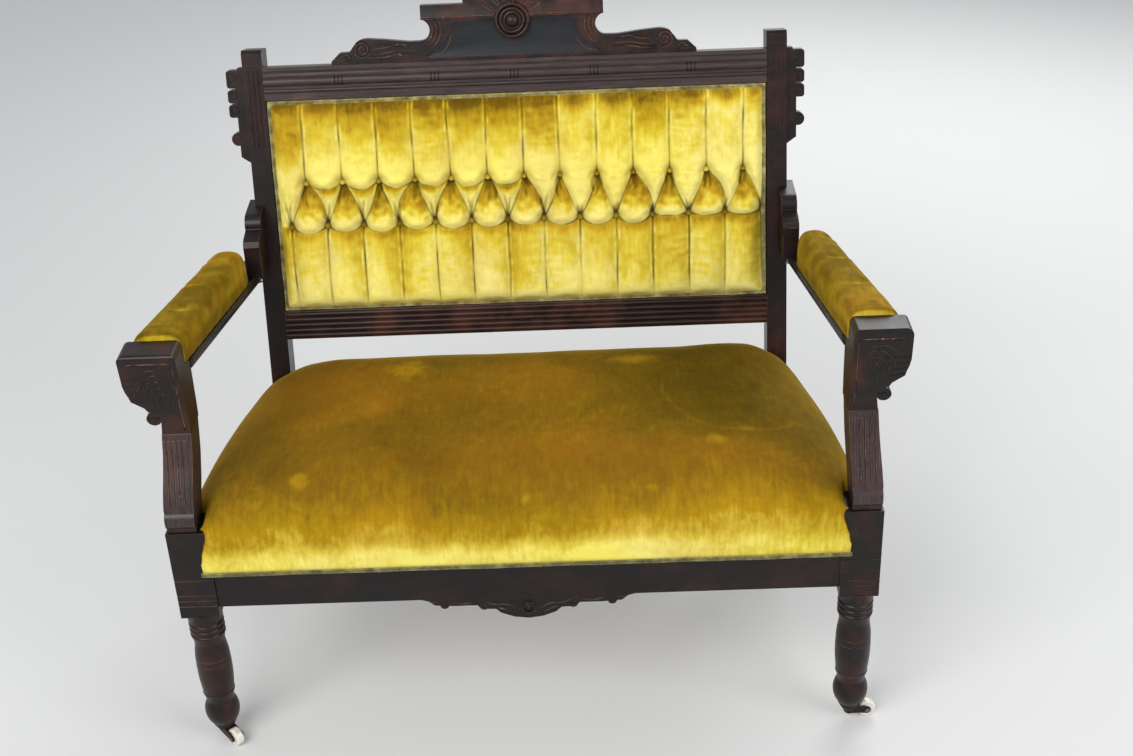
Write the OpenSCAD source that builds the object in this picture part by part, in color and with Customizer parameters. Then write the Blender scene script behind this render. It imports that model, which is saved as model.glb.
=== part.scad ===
// Upholstered parlour settee on casters: show-wood frame, sprung seat, tufted back, padded arms.
// Millimetres. X runs to the right seen from the front, Y to the back, Z up, and the floor is Z = 0.

/* [Overall] */
// Distance between the axes of the two front legs
leg_span = 1004; // [900:4:1160]
// From the front leg axis to the face of the rear posts at the knee of their curve
seat_run = 422; // [380:2:470]
// Height of the flat top of the rear posts
post_top = 963; // [900:1:1040]
// Backward lean of the back, in degrees
back_lean = 12.5; // [6:0.5:16]

/* [Rear posts] */
// Gap between the inner faces of the rear posts
back_span = 816; // [740:4:900]
// Width of a rear post
post_w = 33; // [28:1:40]
// Depth of a rear post above the seat
post_d = 46; // [38:1:54]
// Depth of a rear post at the foot
foot_d = 38; // [34:1:46]
// How far the curve of a rear leg runs back from the straight line of the back, at the floor
leg_sweep = 185; // [150:1:205]
// Height of the knee, where the curved leg starts
knee_z = 430; // [410:1:450]

/* [Seat frame] */
// Underside of the seat rails
rail_bottom = 276; // [262:1:290]
// Height of the seat rails
rail_h = 93; // [80:1:98]
// Thickness of the seat rails
rail_t = 25; // [20:1:28]
// From the front leg axis forward to the face of the front rail
rail_face = 22; // [18:1:26]
// Lower edge of the velvet on the rails
velvet_bottom = 338; // [330:1:350]
// How far the side rails draw in towards the back
side_draw = 66; // [50:1:72]

/* [Front legs] */
// Width of the square leg block, across the settee
block_w = 60; // [52:1:64]
// Depth of the square leg block
block_d = 56; // [50:1:60]
// Lower end of the square leg block
block_bottom = 258; // [250:1:264]
// Upper end of the square leg block
block_top = 414; // [404:1:424]
// Largest radius of the turned leg
turn_r = 27.4; // [24:0.2:28]
// Underside of the wooden feet, where the casters start
foot_z = 31; // [30.6:0.2:36]

/* [Arms] */
// Height of the arm heads
arm_top = 701; // [680:1:730]
// How far the arm heads reach outside the axes of the front legs
arm_reach = 60; // [48:1:70]
// Thickness of the arm rails
arm_rail_t = 18; // [14:1:24]
// Fall of the arm rails from front to back
arm_fall = 38; // [20:1:50]
// Height of the arm pads above their rails, at the front
pad_h = 52; // [44:1:60]
// Width of the arm supports
support_w = 43; // [38:1:46]

/* [Back frame] */
// Height of the lower back rail above the knee line of the back
lower_rail_v = 61; // [50:1:72]
// Height of the lower back rail
lower_rail_h = 49.5; // [44:0.5:56]
// Height of the upholstered panel between the back rails
panel_h = 355; // [320:5:380]
// Height of the moulded top rail
top_rail_h = 53.5; // [48:0.5:60]
// Thickness of the back rails
back_rail_t = 26; // [22:1:30]

/* [Crest] */
// Half width of the crest board at its foot
crest_half = 295.5; // [270:0.5:330]
// Half width of the cornice block
cornice_half = 147; // [140:1:152]
// Height of the cornice block
cornice_h = 23; // [18:1:30]
// Half width of the cap piece
cap_half = 78; // [66:1:90]
// Height of the cap piece
cap_h = 42; // [30:1:50]
// Radius of the turned roundel
roundel_r = 29; // [24:1:30]

/* [Back tufting] */
// Distance between neighbouring buttons in a row
tuft_pitch = 60; // [54:1:62]
// Buttons in each row
tuft_count = 13; // [11:1:13]
// Height of the lower row above the foot of the panel
tuft_low = 146; // [130:1:160]
// Distance between the two rows
tuft_rise = 72; // [60:1:84]
// How far the tufted back swells in front of the rails
tuft_swell = 26; // [16:1:32]

/* [Seat upholstery] */
// Height of the front roll of the seat, where the crown starts
roll_z = 404; // [396:1:412]
// Highest point of the crowned seat
crown_z = 490; // [450:1:505]
// Thickness of the velvet and wadding over the rails
skirt_t = 10; // [8:1:12]

/* [Springs] */
// Springs across the seat
spring_cols = 4; // [3:1:5]
// Springs from front to back
spring_rows = 2; // [2:1:3]
// Wire diameter of a spring
wire_d = 4; // [3:0.5:5]
// Turns in each spring
spring_turns = 5; // [4:1:6]
// Radius of a spring at its ends
spring_r = 42; // [34:1:46]

/* [Casters] */
// Diameter of a caster wheel
wheel_d = 29; // [26:0.5:29]
// Width of a caster wheel
wheel_w = 13; // [10:0.5:15]
// Distance from the swivel axis to the wheel axle
caster_trail = 28; // [27.5:0.5:30]
// Diameter of the swivel stem
stem_d = 8; // [7:0.5:9]
// Diameter of the wheel axle
axle_d = 5; // [4:0.5:6]

/* [Hidden] */

// Colours
wood = "#3a1d16";
wood_dark = "#2a1712";
wood_plain = "#8a6a45";
velvet = "#b79a1c";
braid = "#a5953c";
jute = "#b09468";
steel = "#6d6a66";
iron = "#2b2926";
china = "#ece6d8";

// Fits and small shared sizes
seat_gap = 0.3;      // clearance between upholstery and wood
glue_gap = 0.1;      // clearance between wooden pieces that are glued
run_gap = 0.05;      // radial clearance of turning pins
edge_r = 9;          // round corners of the arm heads
dowel_r = 4.5;
dowel_bite = 24;     // depth of a dowel in each piece

// Plan of the seat
leg_x = leg_span / 2;
post_in = back_span / 2;
post_out = post_in + post_w;
rail_top = rail_bottom + rail_h;
block_front = -block_d / 2 + 3;
block_back = block_front + block_d;
block_in = leg_x - block_w / 2;
block_out = leg_x + block_w / 2;
arm_out = leg_x + arm_reach;

// Lean of the back: a local frame whose Z runs up the back and whose Y = 0 is the face of the posts
lean_t = tan(back_lean);
lean_c = cos(back_lean);
v_lower = lower_rail_v;
v_panel = v_lower + lower_rail_h;
v_top_rail = v_panel + panel_h;
v_crest = v_top_rail + top_rail_h;
v_post_top = (post_top - knee_z) / lean_c;

// Face and back of a rear post at height z: straight above the knee, a parabola below it
function post_face(z) = seat_run + lean_t * (z - knee_z)
    + (z < knee_z ? leg_sweep * pow((knee_z - z) / knee_z, 2) : 0);
function post_depth(z) = z > knee_z ? post_d : post_d - (post_d - foot_d) * (knee_z - z) / knee_z;
rear_foot_y = post_face(foot_z) + post_depth(foot_z) / 2;
rear_foot_x = post_in + post_w / 2;
post_top_chamfer = 5;

// The object from front to back, so that its middle is at Y = 0
gimp_t = 3;
front_y = -(rail_face + skirt_t + seat_gap + gimp_t);
back_y = post_face(post_top) + post_d;
mid_y = (front_y + back_y) / 2;

module place() {
    translate([0, -mid_y, 0]) children();
}

module on_side(side) {
    if (side > 0) children();
    else mirror([1, 0, 0]) children();
}

module in_lean() {
    translate([0, seat_run, knee_z]) rotate([-back_lean, 0, 0]) children();
}

// Turns a drawing in Y and Z into a solid from x0 to x1
module across(x0, x1) {
    translate([x0, 0, 0]) rotate([90, 0, 90]) linear_extrude(height = x1 - x0) children();
}

// Turns a drawing in X and Z into a solid from y0 to y1
module through(y0, y1) {
    translate([0, y1, 0]) rotate([90, 0, 0]) linear_extrude(height = y1 - y0) children();
}

module rod_x(x0, x1, y, z, r) {
    translate([x0, y, z]) rotate([0, 90, 0]) cylinder(h = x1 - x0, r = r, $fn = 32);
}

module rod_y(x, y0, y1, z, r) {
    translate([x, y0, z]) rotate([-90, 0, 0]) cylinder(h = y1 - y0, r = r, $fn = 32);
}

// Points of an arc, for outlines
function arc(cx, cy, r, a0, a1, n) = [for (i = [0:n]) let (a = a0 + (a1 - a0) * i / n)
    [cx + r * cos(a), cy + r * sin(a)]];

// Half width of the seat at the outer face of its velvet skirt. At the back it draws in
// from a line that runs outside the rear posts
draw_line = 102;
skirt_half_front = block_in + 38;
skirt_half_rear = post_in + draw_line - side_draw;
function skirt_half(y) = skirt_half_front - (skirt_half_front - skirt_half_rear)
    * pow(max(0, y - front_y) / (seat_run - front_y), 2.2);
function rail_half(y) = skirt_half(y) - skirt_t;

// Dowels
dowel_low = rail_bottom + 24;
dowel_high = rail_top - 24;
dowel_mid = (dowel_low + dowel_high) / 2;
side_dowel_front_x = block_in + 14;
side_dowel_rear_x = (rail_half(post_face(dowel_low) - dowel_bite) + rail_half(post_face(dowel_high))) / 2
    - rail_t / 2;     // keeps the hole inside the slanting rail
front_dowel_y = -rail_face + rail_t / 2;
rear_rail_y = post_face(rail_bottom) + 12;
support_dowel_x = leg_x + 3;
support_dowel_y = 4;
head_dowel_y = 45;
arm_dowel_x = leg_x + 8;
lower_dowel_v = v_lower + lower_rail_h / 2;
top_dowel_v = v_top_rail + top_rail_h / 2;
back_dowel_y = 13;

module dowels_of(side, extra) {
    r = dowel_r + extra;
    on_side(side) {
        for (z = [dowel_low, dowel_high]) {
            rod_x(block_in - dowel_bite, block_in + dowel_bite, front_dowel_y, z, r);
            rod_y(side_dowel_front_x, block_back - dowel_bite, block_back + dowel_bite, z, r);
            rod_y(side_dowel_rear_x, post_face(z) - dowel_bite, post_face(z) + dowel_bite, z, r);
        }
        rod_x(post_in - dowel_bite, post_in + dowel_bite, rear_rail_y + rail_t / 2, dowel_mid, r);
        translate([support_dowel_x, support_dowel_y, block_top - dowel_bite])
            cylinder(h = 2 * dowel_bite, r = r, $fn = 32);
        translate([support_dowel_x, head_dowel_y, head_z - dowel_bite])
            cylinder(h = 2 * dowel_bite, r = r, $fn = 32);
        rod_y(arm_dowel_x, head_back - dowel_bite, head_back + dowel_bite, arm_z + arm_rail_t / 2, r);
        in_lean() for (v = [lower_dowel_v, top_dowel_v], d = [-12, 12])
            rod_x(post_in - dowel_bite, post_in + dowel_bite, back_dowel_y, v + d, r);
    }
}

module dowels() {
    color(wood_plain) {
        dowels_of(1, 0);
        dowels_of(-1, 0);
    }
}

// Rear posts
module post_outline(grow) {
    zs = [for (i = [0:14]) foot_z + (knee_z - foot_z) * i / 14];
    top_front = post_face(post_top);
    polygon(concat(
        [for (z = zs) [post_face(z) - grow, z]],
        [[top_front - lean_t * post_top_chamfer - grow, post_top - post_top_chamfer],
         [top_front + post_top_chamfer - grow, post_top + 0.01 * grow],
         [top_front + post_d, post_top - lean_t * post_d * lean_c + grow]],
        [for (i = [14:-1:0]) [post_face(zs[i]) + post_depth(zs[i]) + grow, zs[i]]]
    ));
}

module post_solid(grow) {
    across(post_in - grow, post_out + grow) post_outline(grow);
}

flute_r = 2.4;
flute_v0 = v_top_rail - 76;
flute_v1 = v_crest - 4;

module rear_post(side) {
    color(wood) place() difference() {
        on_side(side) difference() {
            post_solid(0);
            in_lean() {
                for (i = [-1:1]) translate([post_in + post_w / 2 + 8 * i, -0.8, flute_v0])
                    cylinder(h = flute_v1 - flute_v0, r = flute_r, $fn = 24);
                translate([post_in - 1, -1, flute_v1 + 8]) cube([post_w + 2, 2.2, 2.4]);
            }
            translate([rear_foot_x, rear_foot_y, foot_z - 1])
                cylinder(h = socket_hole, r = socket_r + glue_gap, $fn = 48);
            arm_screw(glue_gap);
        }
        dowels_of(side, glue_gap);
    }
}

// Carved ears on the outside of the rear posts
ear_v = v_crest - 156;
ear_y = 7;
ear_t = 22;
ear_step = 16;
ear_reach = 29;
ear_lobes = [[76, 97], [99.5, 120.5], [123.5, 152.5]];

module lobe(x0, x1, v0, v1, r) {
    translate([x0, v0]) square([x1 - r - x0, v1 - v0]);
    translate([x0, v0 + r]) square([x1 - x0, v1 - v0 - 2 * r]);
    for (v = [v0 + r, v1 - r]) translate([x1 - r, v]) circle(r = r, $fn = 32);
}

module post_ear(side) {
    color(wood) place() on_side(side) in_lean() difference() {
        through(ear_y, ear_y + ear_t) translate([post_out + glue_gap, ear_v]) {
            polygon([[0, 0], [ear_step, 11], [ear_step, 148], [10, 148], [10, 156], [0, 156]]);
            for (l = ear_lobes) lobe(10, ear_reach, l[0], l[1], 5);
            translate([ear_step + 2.5, 40.5]) circle(r = 10.8, $fn = 40);
        }
        for (l = ear_lobes) translate([post_out + ear_reach - 10, ear_y, ear_v + (l[0] + l[1]) / 2])
            rotate([90, 0, 0]) rotate_extrude($fn = 40) translate([6, 0]) circle(r = 1.2, $fn = 16);
        translate([post_out + ear_step + 2.5, ear_y, ear_v + 40.5])
            rotate([90, 0, 0]) rotate_extrude($fn = 40) translate([6.5, 0]) circle(r = 1.2, $fn = 16);
    }
}

// Moulded top rail: fillet, cove, half round, bead and fascia, from the top down
torus_r = 7.2;
bead_r = 3;

module top_rail_section() {
    h = top_rail_h;
    difference() {
        union() {
            translate([0, 0]) square([back_rail_t, h]);
            translate([-5, h - 6]) square([6, 6]);
            translate([-2.5, 0]) square([3, 10.5]);
            translate([0, h - 24]) circle(r = torus_r, $fn = 48);
            translate([-0.5, h - 38.5]) circle(r = bead_r, $fn = 32);
        }
        translate([-4.4, h - 11]) circle(r = 5, $fn = 32);
    }
}

ring_marks = [-0.35, -0.158, 0, 0.158, 0.35];      // shares of the width between the posts

module top_rail() {
    color(wood) place() difference() {
        in_lean() difference() {
            across(-post_in + glue_gap, post_in - glue_gap) translate([0, v_top_rail]) top_rail_section();
            for (x = ring_marks, k = [-1:1])
                translate([x * back_span + 6 * k - 0.6, -torus_r - 2, v_crest - 24 - torus_r - 1])
                    cube([1.2, 3.6, 2 * torus_r + 2]);
        }
        dowels_of(1, glue_gap);
        dowels_of(-1, glue_gap);
    }
}

// Crest board with scrolled wings and round notches under the cornice
crest_t = 20;
crest_y = 3;
neck_v = 66;          // height of the crest board under the cornice
notch_r = 17;
notch_x = 150.5;
notch_v = 49.5;
wing_end = [[0, 0], [0, 5], [14, 18], [30, 18.5], [34, 24], [43, 35], [50, 38], [59, 39], [90, 36.5]];
wing_root = [[19, 32.2], [0, notch_v - notch_r - 0.2]];
field_curve = [[95, 62], [100, 46], [110, 31], [124, 18], [140, 9]];
scroll_x = crest_half - 51;
scroll_v = 22;

module crest_outline() {
    right = concat(
        [for (p = wing_end) [crest_half - p[0], p[1]]],
        [for (p = wing_root) [notch_x + p[0], p[1]]],
        [[notch_x, neck_v]]);
    n = len(right);
    difference() {
        polygon(concat(right, [for (i = [n - 1:-1:0]) [-right[i][0], right[i][1]]]));
        for (s = [-1, 1]) {
            translate([s * notch_x, notch_v]) circle(r = notch_r, $fn = 48);
            translate([s * (notch_x + 20) - 22, notch_v - 3]) square([44, 30]);
        }
    }
}

// Grooves of round section, along a ring or an arc on a front face
groove_r = 1.5;

module ring_groove(x, v, r, y) {
    translate([x, y, v]) rotate([90, 0, 0]) rotate_extrude($fn = 48)
        translate([r, 0]) circle(r = groove_r, $fn = 12);
}

module arc_groove(x, v, r, a0, a1, y) {
    translate([x, y, v]) rotate([90, 0, 0]) rotate([0, 0, a0])
        rotate_extrude(angle = a1 - a0, $fn = 48) translate([r, 0]) circle(r = groove_r, $fn = 12);
}

module crest_board() {
    color(wood) place() in_lean() translate([0, 0, v_crest + glue_gap]) difference() {
        through(crest_y, crest_y + crest_t) crest_outline();
        through(crest_y - 1, crest_y + 2.5)
            polygon(concat(field_curve, [[140, 5], [-140, 5]],
                [for (i = [4:-1:0]) [-field_curve[i][0], field_curve[i][1]]]));
        for (s = [-1, 1]) {
            ring_groove(s * scroll_x, scroll_v, 7, crest_y);
            ring_groove(s * scroll_x, scroll_v, 12, crest_y);
            ring_groove(s * (crest_half - 29), 8, 4, crest_y);
            translate([s * (scroll_x - 12), crest_y, scroll_v - 10]) rotate([0, -s * 90, 0])
                cylinder(h = scroll_x - notch_x - 20, r = groove_r, $fn = 12);
            translate([s * (scroll_x - 20), crest_y, scroll_v + 7]) rotate([0, -s * 94, 0])
                cylinder(h = scroll_x - notch_x - 32, r = groove_r, $fn = 12);
        }
        for (k = [7, 14]) {
            arc_groove(notch_x, notch_v, notch_r + k, 150, 210, crest_y);
            arc_groove(-notch_x, notch_v, notch_r + k, -30, 30, crest_y);
        }
        roundel_seat();
    }
}

// Cornice block and cap piece above the crest board
roundel_v = 60.5;
roundel_back = 10;
roundel_gap = 0.25;

module roundel_seat() {
    translate([0, roundel_back + roundel_gap, roundel_v]) rotate([90, 0, 0])
        cylinder(h = 40, r = roundel_r + roundel_gap, $fn = 96);
}

module crest_block() {
    color(wood) place() in_lean() translate([0, 0, v_crest]) difference() {
        union() {
            through(0, crest_y + crest_t) translate([-cornice_half, neck_v + 2 * glue_gap])
                square([2 * cornice_half, cornice_h]);
            through(-2.5, 3) translate([-cornice_half, neck_v + 2 * glue_gap])
                square([2 * cornice_half, 4]);
            through(0, crest_y + crest_t) translate([0, neck_v + cornice_h]) {
                translate([-cap_half, 0]) square([2 * cap_half, cap_h * 0.5]);
                intersection() {
                    translate([0, cap_h - 1.6 * cap_half]) circle(r = 1.6 * cap_half, $fn = 96);
                    translate([-cap_half * 0.74, 0]) square([cap_half * 1.48, cap_h]);
                }
            }
            through(-3, 3) translate([-cap_half - 2, neck_v + cornice_h + cap_h * 0.5 - 5])
                square([2 * cap_half + 4, 5]);
        }
        roundel_seat();
        for (k = [0:6]) translate([0, 0, roundel_v]) rotate([0, -60 + 20 * k, 0])
            translate([0, 0, roundel_r + 4]) cylinder(h = 18 + 4 * (3 - abs(k - 3)), r = groove_r, $fn = 12);
    }
}

// Turned roundel, let into the crest
module crest_roundel() {
    r = roundel_r;
    color(wood_dark) place() in_lean() translate([0, roundel_back, v_crest + roundel_v]) rotate([90, 0, 0])
        rotate_extrude($fn = 96) polygon(concat(
            [[0, 0], [r, 0], [r, roundel_back + 3]],
            arc(r - 3.5, roundel_back + 3.2, 3.1, 30, 180, 8),
            [[r - 7, roundel_back + 2.6]],
            arc(r - 10.5, roundel_back + 3.2, 3.1, 0, 180, 8),
            [[r - 14.5, roundel_back + 1.5]],
            arc(0, roundel_back - 1, 12, 15, 84, 9),
            [[0, roundel_back + 11]]
        ));
}

// Reeded lower rail of the back
reed_pitch = 9.2;
reed_r = 4.2;

module lower_back_rail() {
    color(wood) place() difference() {
        in_lean() across(-post_in + glue_gap, post_in - glue_gap) translate([0, v_lower]) {
            square([back_rail_t - 2, lower_rail_h]);
            for (k = [-2:2])
                translate([0.6, lower_rail_h / 2 + reed_pitch * k]) circle(r = reed_r, $fn = 32);
        }
        dowels_of(1, glue_gap);
        dowels_of(-1, glue_gap);
    }
}

// Seat rails
module seat_rail_front() {
    color(wood) place() difference() {
        translate([-block_in + glue_gap, -rail_face, rail_bottom])
            cube([2 * (block_in - glue_gap), rail_t, rail_h]);
        dowels_of(1, glue_gap);
        dowels_of(-1, glue_gap);
    }
}

module seat_rail_rear() {
    color(wood_plain) place() difference() {
        translate([-post_in + glue_gap, rear_rail_y, rail_bottom])
            cube([2 * (post_in - glue_gap), rail_t, rail_h]);
        dowels_of(1, glue_gap);
        dowels_of(-1, glue_gap);
    }
}

side_steps = 10;
function side_y(i) = block_back + glue_gap + (seat_run + 6 - block_back) * i / side_steps;

module seat_rail_side(side) {
    color(wood) place() difference() {
        on_side(side) difference() {
            translate([0, 0, rail_bottom]) linear_extrude(height = rail_h) polygon(concat(
                [for (i = [0:side_steps]) [rail_half(side_y(i)), side_y(i)]],
                [for (i = [side_steps:-1:0]) [rail_half(side_y(i)) - rail_t, side_y(i)]]
            ));
            across(post_in - 30, post_out + 30) post_outline(glue_gap);
        }
        dowels_of(side, glue_gap);
    }
}

// Glue blocks in the four corners of the seat frame
corner_leg = 58;
corner_h = 60;

module corner_blocks() {
    inner_front = rail_t - rail_face + glue_gap;
    inner_rear = rear_rail_y - glue_gap;
    z0 = rail_top - corner_h - 6;
    color(wood_plain) place() for (s = [-1, 1]) on_side(s) translate([0, 0, z0]) {
        linear_extrude(height = corner_h) polygon([
            [block_in - corner_leg, inner_front], [block_in - glue_gap, inner_front],
            [block_in - glue_gap, inner_front + corner_leg]]);
        linear_extrude(height = corner_h) polygon([
            [post_in - corner_leg, inner_rear], [post_in - glue_gap, inner_rear],
            [post_in - glue_gap, post_face(z0) - 4],
            [rail_half(inner_rear - corner_leg) - rail_t - 1, inner_rear - corner_leg]]);
    }
}

// Carved drop under the front rail
drop_t = 12;
drop_half = [[165, 0], [152, 4], [143, 12], [113, 14], [78, 14],
    [73, 21], [50, 22], [42, 30], [22, 38], [0, 41]];

module apron_drop() {
    top = rail_bottom - glue_gap;
    color(wood) place() {
        difference() {
            through(-rail_face + 1, -rail_face + 1 + drop_t) translate([0, top]) {
                polygon(concat([for (p = drop_half) [p[0], -p[1]]],
                    [for (i = [9:-1:0]) [-drop_half[i][0], -drop_half[i][1]]]));
                for (s = [-1, 1]) {
                    translate([s * 128, -12]) circle(r = 7, $fn = 32);
                    translate([s * 68, -16]) circle(r = 7, $fn = 32);
                }
            }
            for (s = [-1, 1], x = [128, 68])
                translate([s * x, -rail_face + 1, top - (x > 100 ? 12 : 16)]) rotate([90, 0, 0])
                    rotate_extrude($fn = 32) translate([3.6, 0]) circle(r = 1.2, $fn = 12);
        }
        translate([0, -rail_face + 1.5, top - 20]) rotate([90, 0, 0])
            rotate_extrude($fn = 48) {
                square([11, 2.5]);
                translate([7.8, 2.5]) intersection() {
                    circle(r = 2.2, $fn = 24);
                    square([4, 4]);
                }
                intersection() {
                    circle(r = 5, $fn = 32);
                    square([5, 6]);
                }
            }
    }
}

// Front legs: square block above, turning below
leg_ball = 28.5;         // height of the middle of the ball above the foot
leg_ball_r = 39.5;       // radius of the ball's round outline
block_lines = [22, 32, 42, 70];

module leg_profile() {
    r = turn_r;
    b = block_bottom;
    f = foot_z;
    polygon(concat(
        [[0, b + 1], [r - 0.4, b + 1], [r - 0.4, b - 17], [r - 2.4, b - 18.5]],
        arc(r - 5, b - 24, 5, 60, -60, 6),
        arc(r - 5, b - 34, 5, 60, -60, 6),
        arc(r - 4.2, b - 43.5, 4.2, 60, -60, 6),
        [[r - 2.4, b - 51], [r - 3.6, b - 57], [r - 3.6, b - 62], [r - 2.6, b - 70], [r - 1.4, b - 78]],
        [[r - 0.6, b - 86], [r - 1.8, b - 87.5], [r - 0.6, b - 89], [r - 0.2, b - 97], [r - 1.4, b - 98.5]],
        [[r - 0.2, b - 100], [r, b - 108], [r, b - 124], [r - 0.7, b - 136], [r - 1.9, b - 149]],
        [[r - 3, b - 157], [r - 2.2, b - 158.5], [r - 2.2, b - 161], [r - 3.4, b - 162.5]],
        [[r - 4.1, b - 166], [r - 5.6, b - 174]],
        arc(r - leg_ball_r, f + leg_ball, leg_ball_r, 32, -38, 14),
        [[18.4, f + 3.5], [17.8, f + 2], [18.2, f], [0, f]]
    ));
}

module front_leg(side) {
    color(wood) place() difference() {
        on_side(side) difference() {
            union() {
                translate([block_in, block_front, block_bottom])
                    cube([block_w, block_d, block_top - block_bottom]);
                translate([leg_x, 0, 0]) rotate_extrude($fn = 64) leg_profile();
            }
            for (up = block_lines)
                rod_x(block_in - 1, block_out + 1, block_front, block_bottom + up, 1.2);
            translate([leg_x, 0, foot_z - 1])
                cylinder(h = socket_hole, r = socket_r + glue_gap, $fn = 48);
        }
        dowels_of(side, glue_gap);
    }
}

// Arm supports: roll moulding, then a reeded sweep that leans back
support_front = [[-20, 414], [-20, 455], [-12, 478], [2, 505], [12, 530], [18, 562]];
support_back = [[31, 414], [35, 440], [50, 470], [63, 505], [68, 535], [71, 562]];
roll_mid = block_top + 20;
roll_r = 17;

module support_side() {
    polygon(concat(support_front, [for (i = [5:-1:0]) support_back[i]]));
}

module support_face(inset) {
    out0 = block_out - 3 - inset;
    polygon([[out0 - support_w + 2 * inset, block_top], [out0, block_top],
        [out0, block_top + 40], [out0 - 7, head_z], [out0 - 7 - support_w + 2 * inset, head_z]]);
}

module arm_support(side) {
    color(wood) place() difference() {
        on_side(side) translate([0, 0, glue_gap]) {
            intersection() {
                across(block_in, block_out) support_side();
                through(-60, 100) support_face(0);
            }
            intersection() {
                rod_x(block_in, block_out, -20 + roll_r * 0.62, roll_mid, roll_r);
                through(-60, 100) support_face(0);
            }
            intersection() {
                for (k = [-2:2]) across(leg_x + 3.5 + 7.6 * k - 2.6, leg_x + 3.5 + 7.6 * k + 2.6)
                    translate([-1.8, 0]) support_side();
                through(-60, 40) support_face(2);
                translate([block_in, -60, block_top + 48]) cube([block_w, 90, head_z - block_top - 58]);
            }
        }
        dowels_of(side, glue_gap);
    }
}

// Arm heads: carved blocks at the front of the arms, with a face that leans forward
head_z = 562;
head_y0 = 18;
head_y1 = 1.5;
head_tilt = atan((head_y0 - head_y1) / (arm_top - 6 - head_z));
function head_front(z) = head_y0 - (z - head_z) * tan(head_tilt);
arm_z = arm_top - 61;
head_in = leg_x - 24;
head_shoulder = arm_z + arm_rail_t;
head_back = 75;
pad_front = 48;

module head_side() {
    polygon(concat([[head_y0, head_z]],
        arc(head_front(arm_top - 6) + 6, arm_top - 6, 6, 180 - head_tilt, 90, 5),
        [[pad_front, arm_top], [pad_front, head_shoulder + 4], [head_back, head_shoulder],
         [head_back, head_z + 78], [head_back - 2, head_z + 31], [head_back - 4, head_z]]));
}

bead_out = 6.5;      // middle of the bead under the head, out from the neck and up from its foot
bead_up = 28;
line_in = 8;         // from the inner edge of the head to its incised line

// Scrolled underside of the head: [share of the way from the neck to the outer end, height]
head_steps = [[-0.07, 22], [0.15, 40], [0.32, 42], [0.4, 48], [0.66, 55.5], [0.83, 60], [0.88, 69],
    [0.95, 77], [1, 88]];

module head_face() {
    neck = head_in + support_w;
    polygon(concat(
        [[head_in, head_z], [neck, head_z]],
        [for (p = head_steps) [neck + p[0] * (arm_out - neck), head_z + p[1]]],
        arc(arm_out - edge_r, arm_top - edge_r, edge_r, 0, 90, 6),
        arc(head_in + edge_r, arm_top - edge_r, edge_r, 90, 180, 6)
    ));
    translate([neck + bead_out, head_z + bead_up]) circle(r = 11, $fn = 40);
}

module arm_head(side) {
    color(wood) place() difference() {
        on_side(side) translate([0, 0, 2 * glue_gap]) difference() {
            intersection() {
                across(head_in - 10, arm_out + 10) head_side();
                through(-20, 100) head_face();
            }
            for (r = [4, 8])
                translate([head_in + support_w + bead_out, head_front(head_z + bead_up), head_z + bead_up])
                    rotate([90 - head_tilt, 0, 0]) rotate_extrude($fn = 40)
                        translate([r, 0]) circle(r = 1.2, $fn = 12);
            for (k = [0:3]) let (z = head_z + 60 + 11 * k)
                translate([head_in + support_w + 12 + 3 * k, head_front(z), z]) rotate([0, 76 + 4 * k, 0])
                    cylinder(h = 40, r = 1.1, center = true, $fn = 12);
            translate([head_in + line_in, head_front(arm_top - 15), arm_top - 15]) rotate([0, 90, 0])
                cylinder(h = arm_out - head_in - 18, r = 1.1, $fn = 12);
            translate([head_in + line_in, head_front(head_z + 6), head_z + 6]) rotate([head_tilt, 0, 0])
                cylinder(h = (arm_top - 21 - head_z) / cos(head_tilt), r = 1.1, $fn = 12);
        }
        dowels_of(side, glue_gap);
    }
}

// Arm rails: from the arm heads to the rear posts, falling to the back
arm_end = post_face(arm_z) + 32;
function arm_drop(y) = arm_fall * (y - head_back) / (seat_run - head_back);
arm_in_front = head_in - 1;
arm_out_front = leg_x + 42;
arm_in_rear = post_out - 7;
arm_out_rear = post_out + 33;

module arm_rail_plan() {
    polygon([[arm_in_front, head_back + glue_gap], [arm_out_front, head_back + glue_gap],
        [arm_out_rear, arm_end], [arm_in_rear, arm_end]]);
}

module arm_band(z_low, z_high) {
    polygon([[head_back, arm_z + z_low], [head_back, arm_z + z_high],
        [arm_end, arm_z + z_high - arm_drop(arm_end)], [arm_end, arm_z + z_low - arm_drop(arm_end)]]);
}

module arm_rail(side) {
    color(wood) place() difference() {
        on_side(side) difference() {
            intersection() {
                translate([0, 0, arm_z - 100]) linear_extrude(height = 200) arm_rail_plan();
                across(post_in, arm_out) arm_band(0, arm_rail_t);
            }
            post_solid(glue_gap);
            arm_screw(glue_gap);
            riser_screw(glue_gap);
        }
        dowels_of(side, glue_gap);
    }
}

// Risers: brackets on the rear of the arms that reach up in front of the rear posts
riser_w = 26;
riser_in = post_out - 14;
riser_h = 93;
riser_nose = 18;
riser_front = seat_run - 17;

function riser_base(y) = arm_z + arm_rail_t - arm_drop(y) + glue_gap;

module arm_riser(side) {
    y1 = arm_end - 4;
    y0 = riser_front;
    top = riser_base(y0) + riser_h;
    nose_y = y0 + 52;
    color(wood) place() on_side(side) difference() {
        across(riser_in, riser_in + riser_w) polygon(concat(
            [[y1, riser_base(y1)], [y0, riser_base(y0)], [y0, top - 38]],
            [[y0 + 4, top - 30], [y0 + 14, top - 26], [y0 + 26, top - 24]],
            arc(nose_y, top - riser_nose, riser_nose, 195, 90, 8),
            [[y1 + 12, top + 3]]
        ));
        post_solid(glue_gap);
        riser_screw(glue_gap);
    }
}

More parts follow.
